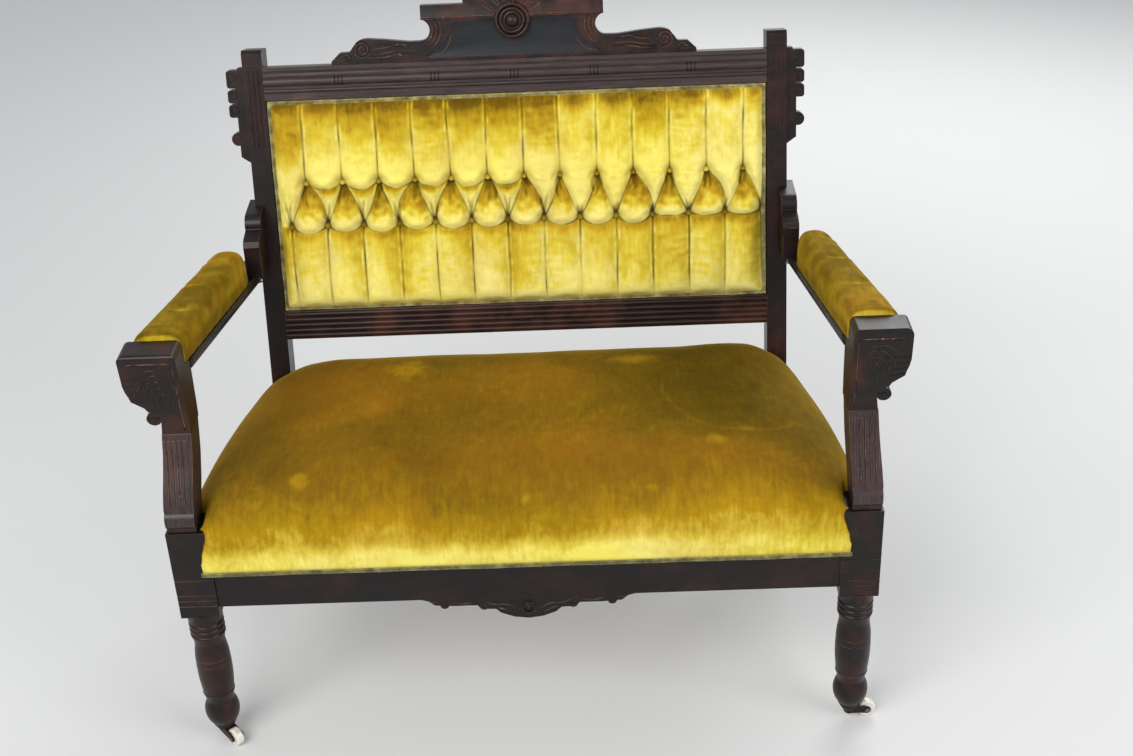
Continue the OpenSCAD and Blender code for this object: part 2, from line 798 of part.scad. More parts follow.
// Screws: arm to post, arm head to arm support, riser to arm
screw_r = 2.4;
screw_head_r = 4.6;
screw_y = arm_end - 14;
screw_z = arm_z + arm_rail_t / 2 - arm_drop(screw_y);
screw_out = post_out + 30;

module screw(length, extra) {
    cylinder(h = length, r = screw_r + extra, $fn = 24);
    cylinder(h = 3, r1 = screw_head_r + extra, r2 = screw_r + extra, $fn = 32);
}

module arm_screw(extra) {
    translate([screw_out, screw_y, screw_z]) rotate([0, -90, 0]) screw(50, extra);
    if (extra > 0) translate([screw_out, screw_y, screw_z]) rotate([0, 90, 0])
        cylinder(h = 20, r = screw_head_r + extra, $fn = 32);
}

riser_screw_y = post_face(riser_base(seat_run)) - 30;

module riser_screw(extra) {
    z = arm_z - arm_drop(riser_screw_y) - 2;
    translate([riser_in + riser_w / 2, riser_screw_y, z + 2.4]) screw(40, extra);
    if (extra > 0) translate([riser_in + riser_w / 2, riser_screw_y, z - 8])
        cylinder(h = 10.4, r = screw_head_r + extra, $fn = 32);
}

module arm_screws() {
    color(steel) place() for (s = [-1, 1]) on_side(s) {
        arm_screw(0);
        riser_screw(0);
    }
}

// Seat webbing under the rails: strips both ways
web_w = 50;
web_t = 1.4;
web_cols = 8;
web_rows = 4;
web_inset = 8;
web_front = -rail_face + drop_t + 2;

module seat_webbing() {
    x_end = block_in - 34;
    color(jute) place() {
        for (i = [0:web_cols - 1]) {
            x = (i - (web_cols - 1) / 2) * (2 * x_end - 90) / web_cols;
            translate([x - web_w / 2, web_front, rail_bottom - 2 * web_t])
                cube([web_w, rear_rail_y + rail_t - web_inset - web_front, web_t]);
        }
        for (j = [0:web_rows - 1]) {
            y = 60 + (rear_rail_y - 110) * j / (web_rows - 1);
            half = rail_half(y + web_w / 2) - web_inset;
            translate([-half, y - web_w / 2, rail_bottom - web_t]) cube([2 * half, web_w, web_t]);
        }
    }
}

// Coil springs: one wire each, waisted, between the webbing and the deck
spring_margin = 30;      // from the posts' inner faces in to the field of the springs
spring_row_gap = 170;    // from one row's axes to the next
spring_z0 = rail_bottom + wire_d / 2 + 0.2;
spring_z1 = rail_top - wire_d / 2 - 0.2;
rings_per_turn = 8;
wire_sides = 6;
ring_count = spring_turns * rings_per_turn;

function spring_radius(t) = spring_r * (1 - 0.3 * sin(180 * t));
function spring_point(t) = let (a = 360 * spring_turns * t)
    [spring_radius(t) * cos(a), spring_radius(t) * sin(a), spring_z0 + (spring_z1 - spring_z0) * t];
function unit(v) = v / norm(v);
function spring_ring(i) = let (
        t = i / ring_count,
        p = spring_point(t),
        along = unit(spring_point(t + 0.002) - spring_point(t - 0.002)),
        out = unit([p[0], p[1], 0] - along * ([p[0], p[1], 0] * along)),
        side = cross(along, out))
    [for (k = [0:wire_sides - 1]) let (a = 360 * k / wire_sides)
        p + wire_d / 2 * (cos(a) * out + sin(a) * side)];
spring_gap = min([for (i = [0:ring_count - rings_per_turn], d = [-1:1])
    let (j = i + rings_per_turn + d)
    j <= ring_count ? norm(spring_point(i / ring_count) - spring_point(j / ring_count)) - wire_d : 100]);
echo(least_gap_between_spring_turns = spring_gap);

function middle(ring) = [for (c = [0:2]) let (v = [for (p = ring) p[c]]) (min(v) + max(v)) / 2];

// A tube through rings of points, closed at both ends by a fan from the middle of the ring
module tube(rings) {
    n = len(rings[0]);
    m = len(rings);
    polyhedron(
        points = concat([for (r = rings, p = r) p], [middle(rings[0]), middle(rings[m - 1])]),
        faces = concat(
            [for (k = [0:n - 1]) [m * n, k, (k + 1) % n]],
            [for (i = [0:m - 2], k = [0:n - 1]) [i * n + k, (i + 1) * n + k, (i + 1) * n + (k + 1) % n]],
            [for (i = [0:m - 2], k = [0:n - 1]) [i * n + k, (i + 1) * n + (k + 1) % n, i * n + (k + 1) % n]],
            [for (k = [0:n - 1]) [m * n + 1, (m - 1) * n + (k + 1) % n, (m - 1) * n + k]]),
        convexity = 8);
}

module seat_springs() {
    y_mid = (rail_t - rail_face + rear_rail_y) / 2;
    color(steel) place()
        for (i = [0:spring_cols - 1], j = [0:spring_rows - 1])
            translate([(i - (spring_cols - 1) / 2) * 2 * (post_in - spring_margin) / spring_cols,
                y_mid + (j - (spring_rows - 1) / 2) * spring_row_gap, 0])
                tube([for (k = [0:ring_count]) spring_ring(k)]);
}

// Hessian deck over the springs, tacked to the rails
deck_t = 1.6;
deck_steps = 12;
function deck_side_y(i) = block_back + 2 + (post_face(rail_top) - 3 - block_back) * i / deck_steps;

module seat_deck() {
    rear = rear_rail_y + rail_t - 4;
    function half(i) = rail_half(deck_side_y(i)) - 3;
    right = concat(
        [[block_in - 2, -rail_face + 3], [block_in - 2, block_back + 2]],
        [for (i = [1:deck_steps]) [half(i), deck_side_y(i)]],
        [[post_in - 2, deck_side_y(deck_steps)], [post_in - 2, rear]]);
    n = len(right);
    color(jute) place() translate([0, 0, rail_top]) linear_extrude(height = deck_t)
        polygon(concat(right, [for (i = [n - 1:-1:0]) [-right[i][0], right[i][1]]]));
}

// Crowned seat: rings of the seat's outline, each a little higher and further in
seat_rear = rear_rail_y + rail_t + 8;
seat_mid_y = 205;
function seat_right() = concat(
    [[block_in - 60, -rail_face - skirt_t], [block_in + 6, -rail_face - skirt_t],
     [block_in + 15, -rail_face - skirt_t + 3], [block_in + 20, -rail_face - 2]],
    [for (i = [0:9]) let (y = 30 + (seat_run - 52) * i / 9) [skirt_half(y), y]],
    [[post_out + 4, seat_run - 10], [post_in + 20, seat_run + 10], [post_in, seat_rear - 6],
     [post_in - 24, seat_rear]]);
function seat_front() = [for (i = [1:7]) [(block_in - 60) * (i / 4 - 1), -rail_face - skirt_t]];
function seat_back() = [for (i = [1:5]) [(post_in - 24) * (1 - i / 3), seat_rear]];
function seat_outline() = let (r = seat_right(), n = len(r))
    concat(seat_front(), r, seat_back(), [for (i = [n - 1:-1:0]) [-r[i][0], r[i][1]]]);

// [inset as a share of the half size, height as a share of the crown]
seat_rings = [[0, -1], [0, -0.8], [-0.008, -0.5], [-0.012, -0.25], [-0.004, 0], [0.014, 0.17], [0.045, 0.34],
    [0.1, 0.52], [0.19, 0.7], [0.33, 0.85], [0.55, 0.955], [0.8, 0.995]];
function seat_ring_z(h) = h < 0 ? roll_z + h * (roll_z - velvet_bottom) : roll_z + h * (crown_z - roll_z);
function seat_ring(k) = let (inset = seat_rings[k][0], z = seat_ring_z(seat_rings[k][1]))
    [for (p = seat_outline()) [p[0] * (1 - inset), seat_mid_y + (p[1] - seat_mid_y) * (1 - inset), z]];

module frame_core(grow) {
    right = concat(
        [[block_in, -rail_face - grow]],
        [for (i = [0:side_steps]) [rail_half(side_y(i)) + grow, side_y(i)]],
        [[post_in, seat_run + 8], [post_in, rear_rail_y + rail_t + grow]]);
    n = len(right);
    linear_extrude(height = rail_top + deck_t + grow)
        polygon(concat(right, [for (i = [n - 1:-1:0]) [-right[i][0], right[i][1]]]));
}

// The velvet laps over the front of the leg blocks, less and less towards the top
module lap_cut() {
    lap = block_in + 15;
    far = 2 * block_in;
    through(-rail_face - 60, block_front) polygon([[lap, velvet_bottom - 10], [lap, velvet_bottom + 20],
        [lap - 6, velvet_bottom + 50], [block_in, block_top], [block_in, 2 * crown_z], [far, 2 * crown_z],
        [far, velvet_bottom - 10]]);
}

module seat_cushion() {
    past = block_w + 140;
    color(velvet) place() difference() {
        tube([for (k = [0:len(seat_rings) - 1]) seat_ring(k)]);
        frame_core(seat_gap);
        for (s = [-1, 1]) on_side(s) {
            lap_cut();
            translate([block_in - seat_gap, block_front - seat_gap, 0])
                cube([past, block_d + 2 * seat_gap, block_top + 2 * seat_gap]);
            across(head_in - 2, block_out + 20) translate([seat_gap, 0]) support_side();
            across(head_in - 2, block_out + 20) translate([-seat_gap, 0]) support_side();
            across(post_in - seat_gap, post_in + past) post_outline(seat_gap);
            translate([post_in - seat_gap, post_face(rail_top) + 20, 0]) cube([past, past, post_top]);
        }
    }
}

// Braid along the lower edge of the seat
gimp_h = 11;

module seat_gimp() {
    z = velvet_bottom + 1;
    function side_pt(i, off) = [skirt_half(side_y(i)) + off, side_y(i)];
    steps = side_steps - 1;
    color(braid) place() {
        translate([-block_in - 14, -rail_face - skirt_t - seat_gap - gimp_t, z])
            cube([2 * block_in + 28, gimp_t, gimp_h]);
        for (s = [-1, 1]) on_side(s) translate([0, 0, z]) linear_extrude(height = gimp_h)
            polygon(concat(
                [for (i = [0:steps]) side_pt(i, seat_gap + gimp_t)],
                [for (i = [steps:-1:0]) side_pt(i, seat_gap)]));
        translate([-post_in + 34, seat_rear + 1, z]) cube([back_span - 68, gimp_t, gimp_h]);
    }
}

// Slip frame and webbing inside the back
slip_w = 34;
slip_y = 9;
slip_t = 14;
panel_gap = 0.4;
panel_half = post_in - panel_gap;

module panel_rect(inset, y0, y1) {
    through(y0, y1) translate([-panel_half + inset, v_panel + panel_gap + inset])
        square([2 * (panel_half - inset), panel_h - 2 * panel_gap - 2 * inset]);
}

module back_panel_frame() {
    color(wood_plain) place() in_lean() difference() {
        panel_rect(0, slip_y, slip_y + slip_t);
        panel_rect(slip_w, slip_y - 1, slip_y + slip_t + 1);
        translate([-9, slip_y + 7, v_panel]) cube([18, slip_t, 2]);
    }
}

module back_webbing() {
    half = panel_half - 10;
    low = v_panel + 12;
    high = v_panel + panel_h - 12;
    color(jute) place() in_lean() translate([0, slip_y - glue_gap, 0]) {
        for (i = [-3:3]) translate([i * half / 3.8 - web_w / 2, -web_t, low])
            cube([web_w, web_t, high - low]);
        for (j = [0:2]) translate([-half, -2 * web_t, low + 50 + j * (high - low - 100 - web_w) / 2])
            cube([2 * half, web_t, web_w]);
    }
}

// Tufted back: a height field with channels above and below two rows of staggered buttons
tuft_back_y = slip_y - 2 * web_t - 0.3;
tuft_shift = 8;
tuft_half = panel_half - 1;
tuft_border = gimp_h + 1;
tuft_in = panel_half - tuft_border;
tuft_step = tuft_pitch / 4;
tuft_columns = concat([-tuft_half, -tuft_in],
    [for (k = [-80:80]) let (x = tuft_shift + tuft_step * k) if (abs(x) < tuft_in - 4) x],
    [tuft_in, tuft_half]);
tuft_high = tuft_low + tuft_rise;
tuft_rows = concat([2 * panel_gap, tuft_border, tuft_border + 9],
    [for (k = [86, 41, 14]) tuft_low - k],
    [for (k = [0:6]) tuft_low + tuft_rise * k / 6],
    [for (k = [14, 44, 82]) tuft_high + k],
    [panel_h - tuft_border - 10, panel_h - tuft_border, panel_h - 2 * panel_gap]);

function wrap(x) = let (m = x - tuft_pitch * round(x / tuft_pitch)) abs(m);
function fold_share(v) = min(1, max(0, (v - tuft_low) / tuft_rise));
function fold_distance(x, v) = let (
        q = fold_share(v) * tuft_pitch / 2,
        low = x - tuft_shift + tuft_pitch / 2)
    min(wrap(low - q), wrap(low + q));
function edge_share(x, v) = min(1, max(0, tuft_in - abs(x)) / 26)
    * min(1, max(0, min(v, panel_h - v) - tuft_border) / 22);
function button_dip(x, v) = let (
        high = norm([wrap(x - tuft_shift), v - tuft_high]),
        low = norm([wrap(x - tuft_shift + tuft_pitch / 2), v - tuft_low]))
    max(0, 1 - min(high, low) / 18);
function tuft_height(x, v) = let (fold = pow(min(1, fold_distance(x, v) / (tuft_pitch / 2)), 0.6))
    3 + tuft_swell * sqrt(edge_share(x, v)) * (0.55 + 0.45 * fold) * (1 - 0.4 * button_dip(x, v));

module back_cushion() {
    nx = len(tuft_columns) - 1;
    nv = len(tuft_rows);
    function front_id(i, j) = j * (nx + 1) + i;
    corner = (nx + 1) * nv;
    front = [for (v = tuft_rows, x = tuft_columns) [x, 3 - tuft_height(x, v), v_panel + v]];
    back = [for (c = [[0, 0], [nx, 0], [nx, nv - 1], [0, nv - 1]])
        [tuft_columns[c[0]], tuft_back_y, v_panel + tuft_rows[c[1]]]];
    quads = [for (j = [0:nv - 2], i = [0:nx - 1])
        [front_id(i, j), front_id(i, j + 1), front_id(i + 1, j + 1), front_id(i + 1, j)]];
    color(velvet) place() in_lean() polyhedron(
        points = concat(front, back),
        faces = concat(
            [for (q = quads) [q[0], q[1], q[2]]],
            [for (q = quads) [q[0], q[2], q[3]]],
            [concat([corner, corner + 3], [for (j = [nv - 1:-1:0]) front_id(0, j)])],
            [concat([corner + 2, corner + 1], [for (j = [0:nv - 1]) front_id(nx, j)])],
            [concat([corner + 1, corner], [for (i = [0:nx]) front_id(i, 0)])],
            [concat([corner + 3, corner + 2], [for (i = [nx:-1:0]) front_id(i, nv - 1)])],
            [[corner, corner + 1, corner + 2, corner + 3]]),
        convexity = 12);
}

// Covered buttons at the folds
button_r = 7;

function button_x(row, i) = tuft_shift + tuft_pitch * (i - (tuft_count - 1) / 2 - (1 - row) / 2);
button_places = [for (row = [0, 1], i = [0:tuft_count - 1])
    if (abs(button_x(row, i)) < tuft_in - button_r) [button_x(row, i), row == 0 ? tuft_low : tuft_high]];

module tuft_buttons() {
    color(velvet) place() in_lean() for (p = button_places) {
        y = 3 - tuft_height(p[0], p[1]);
        translate([p[0], y - 0.5, v_panel + p[1]]) rotate([90, 0, 0])
        rotate_extrude($fn = 24) intersection() {
            translate([0, -button_r * 0.8]) circle(r = button_r * 1.28, $fn = 48);
            square([button_r, 5]);
        }
    }
}

module back_gimp() {
    color(braid) place() in_lean() difference() {
        panel_rect(0.4, -gimp_t - 0.3, -0.3);
        panel_rect(gimp_h, -20, 20);
    }
}

module back_outer_cover() {
    color(velvet) place() in_lean() panel_rect(6, slip_y + slip_t + 0.2, slip_y + slip_t + 2.6);
}

// Padded arms: a loaf that follows the arm rail, rounded at the rear
pad_end = riser_front - 1;
pad_steps = 11;
pad_sides = 16;
pad_swell = 5;       // how far the pad swells past the edges of the arm rail
pad_droop = 28;      // angle below the widest line at which a pad's outline meets the rail

function pad_share(i) = i / pad_steps;
function pad_y(i) = pad_front + 0.6 + (pad_end - pad_front - 0.6) * (1 - pow(1 - pad_share(i), 1.3));
function pad_plan(y) = let (t = (y - head_back) / (arm_end - head_back))
    [arm_in_front + (arm_in_rear - arm_in_front) * t, arm_out_front + (arm_out_rear - arm_out_front) * t];
function round_off(left, r) = left >= r ? 1 : sqrt(max(0.03, 1 - pow(1 - left / r, 2)));
function round_power(v) = sign(v) * pow(abs(v), 0.66);
function pad_ring(i) = let (
        y = pad_y(i),
        plan = pad_plan(y),
        base = arm_z + arm_rail_t + seat_gap - arm_drop(y),
        h = (pad_h + 16 * pad_share(i)) * round_off(pad_end - y, 34),
        w = ((plan[1] - plan[0]) / 2 + pad_swell) * round_off(pad_end - y, 60),
        low = round_power(sin(pad_droop)))
    [for (k = [pad_sides - 1:-1:0]) let (a = -pad_droop + (180 + 2 * pad_droop) * k / (pad_sides - 1))
        [(plan[1] + plan[0]) / 2 + w * round_power(cos(a)), y,
         base + h * (round_power(sin(a)) + low) / (1 + low)]];

module arm_pad(side) {
    color(velvet) place() on_side(side) difference() {
        tube([for (i = [0:pad_steps]) pad_ring(i)]);
        across(head_in - 20, arm_out + 20) translate([seat_gap, seat_gap]) polygon([[0, arm_z - 100],
            [head_back, arm_z - 100], [head_back, head_shoulder], [pad_front, head_shoulder + 4],
            [pad_front, arm_z + 200], [0, arm_z + 200]]);
    }
}

// Braid on the edges of the arm rails, close under the pads
arm_gimp_t = 2.3;
arm_gimp_h = 8;

module arm_gimp(side) {
    function edge(y, s, off) = [pad_plan(y)[s] + (2 * s - 1) * off, y];
    y0 = head_back + 1;
    y1 = pad_end - 50;
    out = seat_gap + arm_gimp_t;
    color(braid) place() on_side(side) intersection() {
        translate([0, 0, arm_z - 100]) linear_extrude(height = 200) for (s = [0, 1])
            polygon([edge(y0, s, out), edge(y0, s, seat_gap), edge(y1, s, seat_gap), edge(y1, s, out)]);
        across(post_in, arm_out + 40) arm_band(arm_rail_t - arm_gimp_h, arm_rail_t);
    }
}

// Casters. Each has its place and the direction in which its wheel trails
socket_h = 34;
socket_wall = 2;
socket_r = stem_d / 2 + socket_wall;
flange_r = 15;
flange_t = 2.4;
flange_z = foot_z - flange_t - glue_gap;
socket_hole = socket_h + 1 - flange_t;
swivel_gap = 0.3;
horn_top = flange_z - swivel_gap;
fork_t = 2.6;
wheel_r = wheel_d / 2;
side_play = 0.6;
fork_in = wheel_w / 2 + side_play;
fork_out = fork_in + fork_t;
caster_list = [
    ["front_left", -leg_x, 0, -46], ["front_right", leg_x, 0, 8],
    ["rear_left", -rear_foot_x, rear_foot_y, 205], ["rear_right", rear_foot_x, rear_foot_y, -20]];

module at_caster(c) {
    place() translate([c[1], c[2], 0]) children();
}

module caster_socket(c) {
    color(iron) at_caster(c) difference() {
        union() {
            translate([0, 0, flange_z]) cylinder(h = flange_t, r = flange_r, $fn = 48);
            translate([0, 0, flange_z]) cylinder(h = socket_h, r = socket_r, $fn = 48);
        }
        translate([0, 0, flange_z - 1]) cylinder(h = socket_h + 2, r = stem_d / 2 + run_gap, $fn = 48);
    }
}

// The horn is a cup under the foot with two cheeks that hold the wheel.
// It is drawn with its trail along +X and turned to the caster's own direction
module caster_horn(c) {
    reach = caster_trail;
    color(iron) at_caster(c) rotate([0, 0, c[3]]) difference() {
        union() {
            translate([0, 0, horn_top]) rotate_extrude($fn = 48) polygon([[0, 0], [flange_r, 0],
                [flange_r, -3], [12.5, -7], [9.5, -13], [7.5, -18], [0, -20]]);
            translate([0, 0, horn_top - 1]) cylinder(h = socket_h - 1, r = stem_d / 2, $fn = 48);
            for (s = [-1, 1]) through(s > 0 ? fork_in : -fork_out, s > 0 ? fork_out : -fork_in) {
                polygon([[-6, horn_top - 2], [11, horn_top - 2], [reach + 1, wheel_r + 6.5],
                    [reach + 5, wheel_r + 1], [reach - 3, wheel_r - 5], [5, horn_top - 16],
                    [-6, horn_top - 14]]);
                translate([reach, wheel_r]) circle(r = axle_d / 2 + 3.6, $fn = 40);
            }
        }
        translate([reach, 30, wheel_r]) rotate([90, 0, 0])
            cylinder(h = 60, r = axle_d / 2 + run_gap, $fn = 32);
    }
}

module caster_axle(c) {
    color(steel) at_caster(c) rotate([0, 0, c[3]]) translate([caster_trail, 0, wheel_r]) rotate([90, 0, 0]) {
        cylinder(h = 2 * fork_out + 1, r = axle_d / 2, center = true, $fn = 32);
        for (s = [-1, 1]) translate([0, 0, s * (fork_out + 0.9)])
            cylinder(h = 1.4, r = axle_d / 2 + 1.6, center = true, $fn = 32);
    }
}

module caster_wheel(c) {
    r = wheel_r;
    w = wheel_w / 2;
    hub_r = axle_d / 2 + 0.08;
    color(china) at_caster(c) rotate([0, 0, c[3]]) translate([caster_trail, 0, r]) rotate([90, 0, 0])
        rotate_extrude($fn = 64)
            polygon(concat([[hub_r, -w], [hub_r + 3, -w], [hub_r + 4, -w + 1], [r - 5, -w + 1]],
                arc(r - 3, -w + 3, 3, -90, 0, 6), arc(r - 3, w - 3, 3, 0, 90, 6),
                [[r - 5, w - 1], [hub_r + 4, w - 1], [hub_r + 3, w], [hub_r, w]]));
}

rear_post(-1);  // rear_post_left
rear_post(1);  // rear_post_right
post_ear(-1);  // post_ear_left
post_ear(1);  // post_ear_right
top_rail();
crest_board();
crest_block();
crest_roundel();
lower_back_rail();
seat_rail_front();
seat_rail_rear();
seat_rail_side(-1);  // seat_rail_left
seat_rail_side(1);  // seat_rail_right
corner_blocks();
apron_drop();
front_leg(-1);  // front_leg_left
front_leg(1);  // front_leg_right
arm_support(-1);  // arm_support_left
arm_support(1);  // arm_support_right
arm_head(-1);  // arm_head_left
arm_head(1);  // arm_head_right
arm_rail(-1);  // arm_rail_left
arm_rail(1);  // arm_rail_right
arm_riser(-1);  // arm_riser_left
arm_riser(1);  // arm_riser_right
arm_screws();
place() dowels();
seat_webbing();
seat_springs();
seat_deck();
seat_cushion();
seat_gimp();
back_panel_frame();
back_webbing();
back_cushion();
back_gimp();
back_outer_cover();
tuft_buttons();
arm_pad(-1);  // arm_pad_left
arm_pad(1);  // arm_pad_right
arm_gimp(-1);  // arm_gimp_left
arm_gimp(1);  // arm_gimp_right
for (c = caster_list) {
    caster_socket(c);
    caster_horn(c);
    caster_axle(c);
    caster_wheel(c);
}
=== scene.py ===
import math
import random

import bmesh
import bpy
import mathutils
import numpy as np
from mathutils import Matrix, Vector
from mathutils.bvhtree import BVHTree


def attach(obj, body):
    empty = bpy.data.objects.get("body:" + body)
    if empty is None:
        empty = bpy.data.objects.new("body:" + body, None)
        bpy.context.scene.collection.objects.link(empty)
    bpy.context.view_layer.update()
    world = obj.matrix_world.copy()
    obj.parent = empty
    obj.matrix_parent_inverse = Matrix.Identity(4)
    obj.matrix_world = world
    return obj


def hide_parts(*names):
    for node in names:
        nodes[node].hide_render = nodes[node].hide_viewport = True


# Looks of an upholstered parlour settee. Metres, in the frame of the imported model.

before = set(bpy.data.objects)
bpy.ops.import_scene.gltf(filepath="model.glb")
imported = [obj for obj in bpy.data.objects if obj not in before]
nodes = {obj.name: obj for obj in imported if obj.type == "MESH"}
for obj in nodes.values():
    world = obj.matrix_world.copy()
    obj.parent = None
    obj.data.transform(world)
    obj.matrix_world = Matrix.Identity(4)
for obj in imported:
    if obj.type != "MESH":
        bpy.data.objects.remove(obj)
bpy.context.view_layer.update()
scene = bpy.context.scene

MM = 0.001
FRONT_AXIS_Y = -275.43 * MM      # the front legs' axes
SIDES = {"left": -1, "right": 1}
CORNERS = ("front_left", "front_right", "rear_left", "rear_right")
WELD = 0.02 * MM                 # points nearer than this become one

# The back leans: its own frame has X across, Y into the back and V up the lean
LEAN = math.radians(12.5)
LEAN_IN = np.array([0, math.cos(LEAN), -math.sin(LEAN)])
LEAN_UP = np.array([0, math.sin(LEAN), math.cos(LEAN)])
KNEE_Y = FRONT_AXIS_Y + 422 * MM
KNEE_Z = 430 * MM
V_PANEL = 110.5 * MM             # the foot of the upholstered panel
PANEL_H = 355 * MM
V_CREST = V_PANEL + PANEL_H + 53.5 * MM


def lean(x, y, v):
    """World coordinates of points given in the leaned frame of the back."""
    x, y, v = np.broadcast_arrays(x, y, v)
    return np.stack([x, KNEE_Y + y * math.cos(LEAN) + v * math.sin(LEAN),
                     KNEE_Z - y * math.sin(LEAN) + v * math.cos(LEAN)], axis=-1)


# Materials

MIX_A, MIX_B, MIX_OUT = 6, 7, 2     # the colour sockets of a mix node


def hex_colour(text):
    """A colour written as the eye sees it, turned into the linear values that the shaders use."""
    values = [int(text[i:i + 2], 16) / 255 for i in (1, 3, 5)]
    return tuple(v / 12.92 if v <= 0.04045 else ((v + 0.055) / 1.055) ** 2.4 for v in values) + (1.0,)


class Look:
    """A material in the making: its nodes and shader, with short ways to add to them."""

    def __init__(self, name):
        self.material = bpy.data.materials.new(name)
        self.material.use_nodes = True
        self.tree = self.material.node_tree
        self.tree.nodes.clear()
        self.shader = self.node("BsdfPrincipled")
        self.node("OutputMaterial", {"Surface": self.shader.outputs["BSDF"]})

    def fill(self, made, inputs):
        """Gives a node its inputs. Sockets are linked, other values are set."""
        for key, value in inputs.items():
            if isinstance(value, bpy.types.NodeSocket):
                self.tree.links.new(value, made.inputs[key])
            else:
                made.inputs[key].default_value = hex_colour(value) if isinstance(value, str) else value

    def node(self, kind, inputs=None, **settings):
        made = self.tree.nodes.new("ShaderNode" + kind)
        for key, value in settings.items():
            setattr(made, key, value)
        self.fill(made, inputs or {})
        return made

    def coords(self, stretch=(1, 1, 1)):
        """The object's own coordinates, times a stretch along each axis."""
        where = self.node("TexCoord").outputs["Object"]
        return self.node("Mapping", {"Vector": where, "Scale": stretch}).outputs["Vector"]

    def noise(self, scale, detail=3.0, rough=0.55, distortion=0.0, stretch=(1, 1, 1)):
        return self.node("TexNoise", {"Vector": self.coords(stretch), "Scale": scale, "Detail": detail,
                                      "Roughness": rough, "Distortion": distortion}).outputs["Fac"]

    def attribute(self, name):
        return self.node("Attribute", attribute_name=name).outputs["Fac"]

    def ramp(self, factor, *stops):
        """A colour ramp through stops, each a position and a colour or a grey."""
        made = self.node("ValToRGB", {"Fac": factor})
        elements = made.color_ramp.elements
        while len(elements) < len(stops):
            elements.new(0.5)
        for element, (position, colour) in zip(elements, stops):
            element.position = position
            element.color = hex_colour(colour) if isinstance(colour, str) else (colour, colour, colour, 1)
        return made.outputs["Color"]

    def mix(self, factor, a, b, blend="MIX"):
        made = self.node("Mix", data_type="RGBA", blend_type=blend)
        self.fill(made, {0: factor, MIX_A: a, MIX_B: b})
        return made.outputs[MIX_OUT]

    def times(self, a, b):
        return self.node("Math", {0: a, 1: b}, operation="MULTIPLY").outputs[0]

    def weighted(self, *parts, start=0.0, clamp=False):
        """The sum of values, each times its weight, on top of a start."""
        total = start
        for value, weight in parts:
            made = self.node("Math", {0: value, 1: weight, 2: total}, operation="MULTIPLY_ADD")
            total = made.outputs[0]
        made.use_clamp = clamp
        return total

    def finish(self, inputs, height=None, strength=0.0, distance=0.0):
        """Fills in the shader, with fine bumps where a height is given. Gives the material."""
        self.fill(self.shader, inputs)
        if height is not None:
            bump = self.node("Bump", {"Height": height, "Strength": strength, "Distance": distance})
            self.fill(self.shader, {"Normal": bump.outputs["Normal"]})
        return self.material


def wood_material(name, grain, dark="#0d0908", mid="#1e1211", warm="#3c1c14", red=0.5):
    """Old near-black varnish over a red-brown wood, with grain along one axis and edges worn through.
    A higher red shows more of the bare wood."""
    look = Look(name)
    stretch = [90, 90, 90]
    stretch["XYZ".index(grain)] = 5
    fibre = look.noise(4.0, 6.0, 0.62, 0.4, stretch)
    scratch = look.noise(5.0, 2.0, stretch=[s * 3 for s in stretch])
    patch = look.noise(23.0, 5.0, 0.66, 0.3)
    edge = look.attribute("edge")
    rub = look.ramp(look.times(look.noise(9.0, 4.0, 0.6), patch), (0.27 - 0.05 * red, 0.0),
                    (0.42 - 0.06 * red, 1.0))
    spotty = look.ramp(look.noise(38.0, 4.0, 0.6), (0.38, 0.0), (0.58, 1.0))
    chips = look.ramp(look.noise(140.0, 2.0, 0.5), (0.66, 0.0), (0.7, 1.0))
    colour = look.mix(look.ramp(fibre, (0.3, 0.0), (0.72, 1.0)), dark, mid)
    colour = look.mix(look.times(rub, 0.25 + 0.5 * red), colour, warm)
    colour = look.mix(look.times(look.times(edge, spotty), 0.9), colour, "#7b5340")
    colour = look.mix(look.times(edge, chips), colour, "#a58c78")
    return look.finish({"Base Color": colour, "Roughness": look.ramp(patch, (0.2, 0.3), (0.8, 0.52)),
                        "Specular IOR Level": 0.24, "Coat Weight": 0.16, "Coat Roughness": 0.28},
                       look.weighted((fibre, 0.7), (scratch, 0.3)), 0.35, 0.6 * MM)


def plain_wood_material():
    """Unstained wood of the hidden frame, browned with age."""
    look = Look("frame_wood_aged")
    fibre = look.noise(3.0, 6.0, 0.6, 0.5, (12, 120, 120))
    base = look.ramp(fibre, (0.25, "#5b432b"), (0.55, "#86683f"), (0.8, "#9d7f55"))
    browned = look.ramp(look.noise(6.0, 4.0), (0.35, 0.0), (0.7, 0.6))
    return look.finish({"Base Color": look.mix(browned, base, "#4a3523"), "Roughness": 0.8},
                       fibre, 0.4, 0.8 * MM)


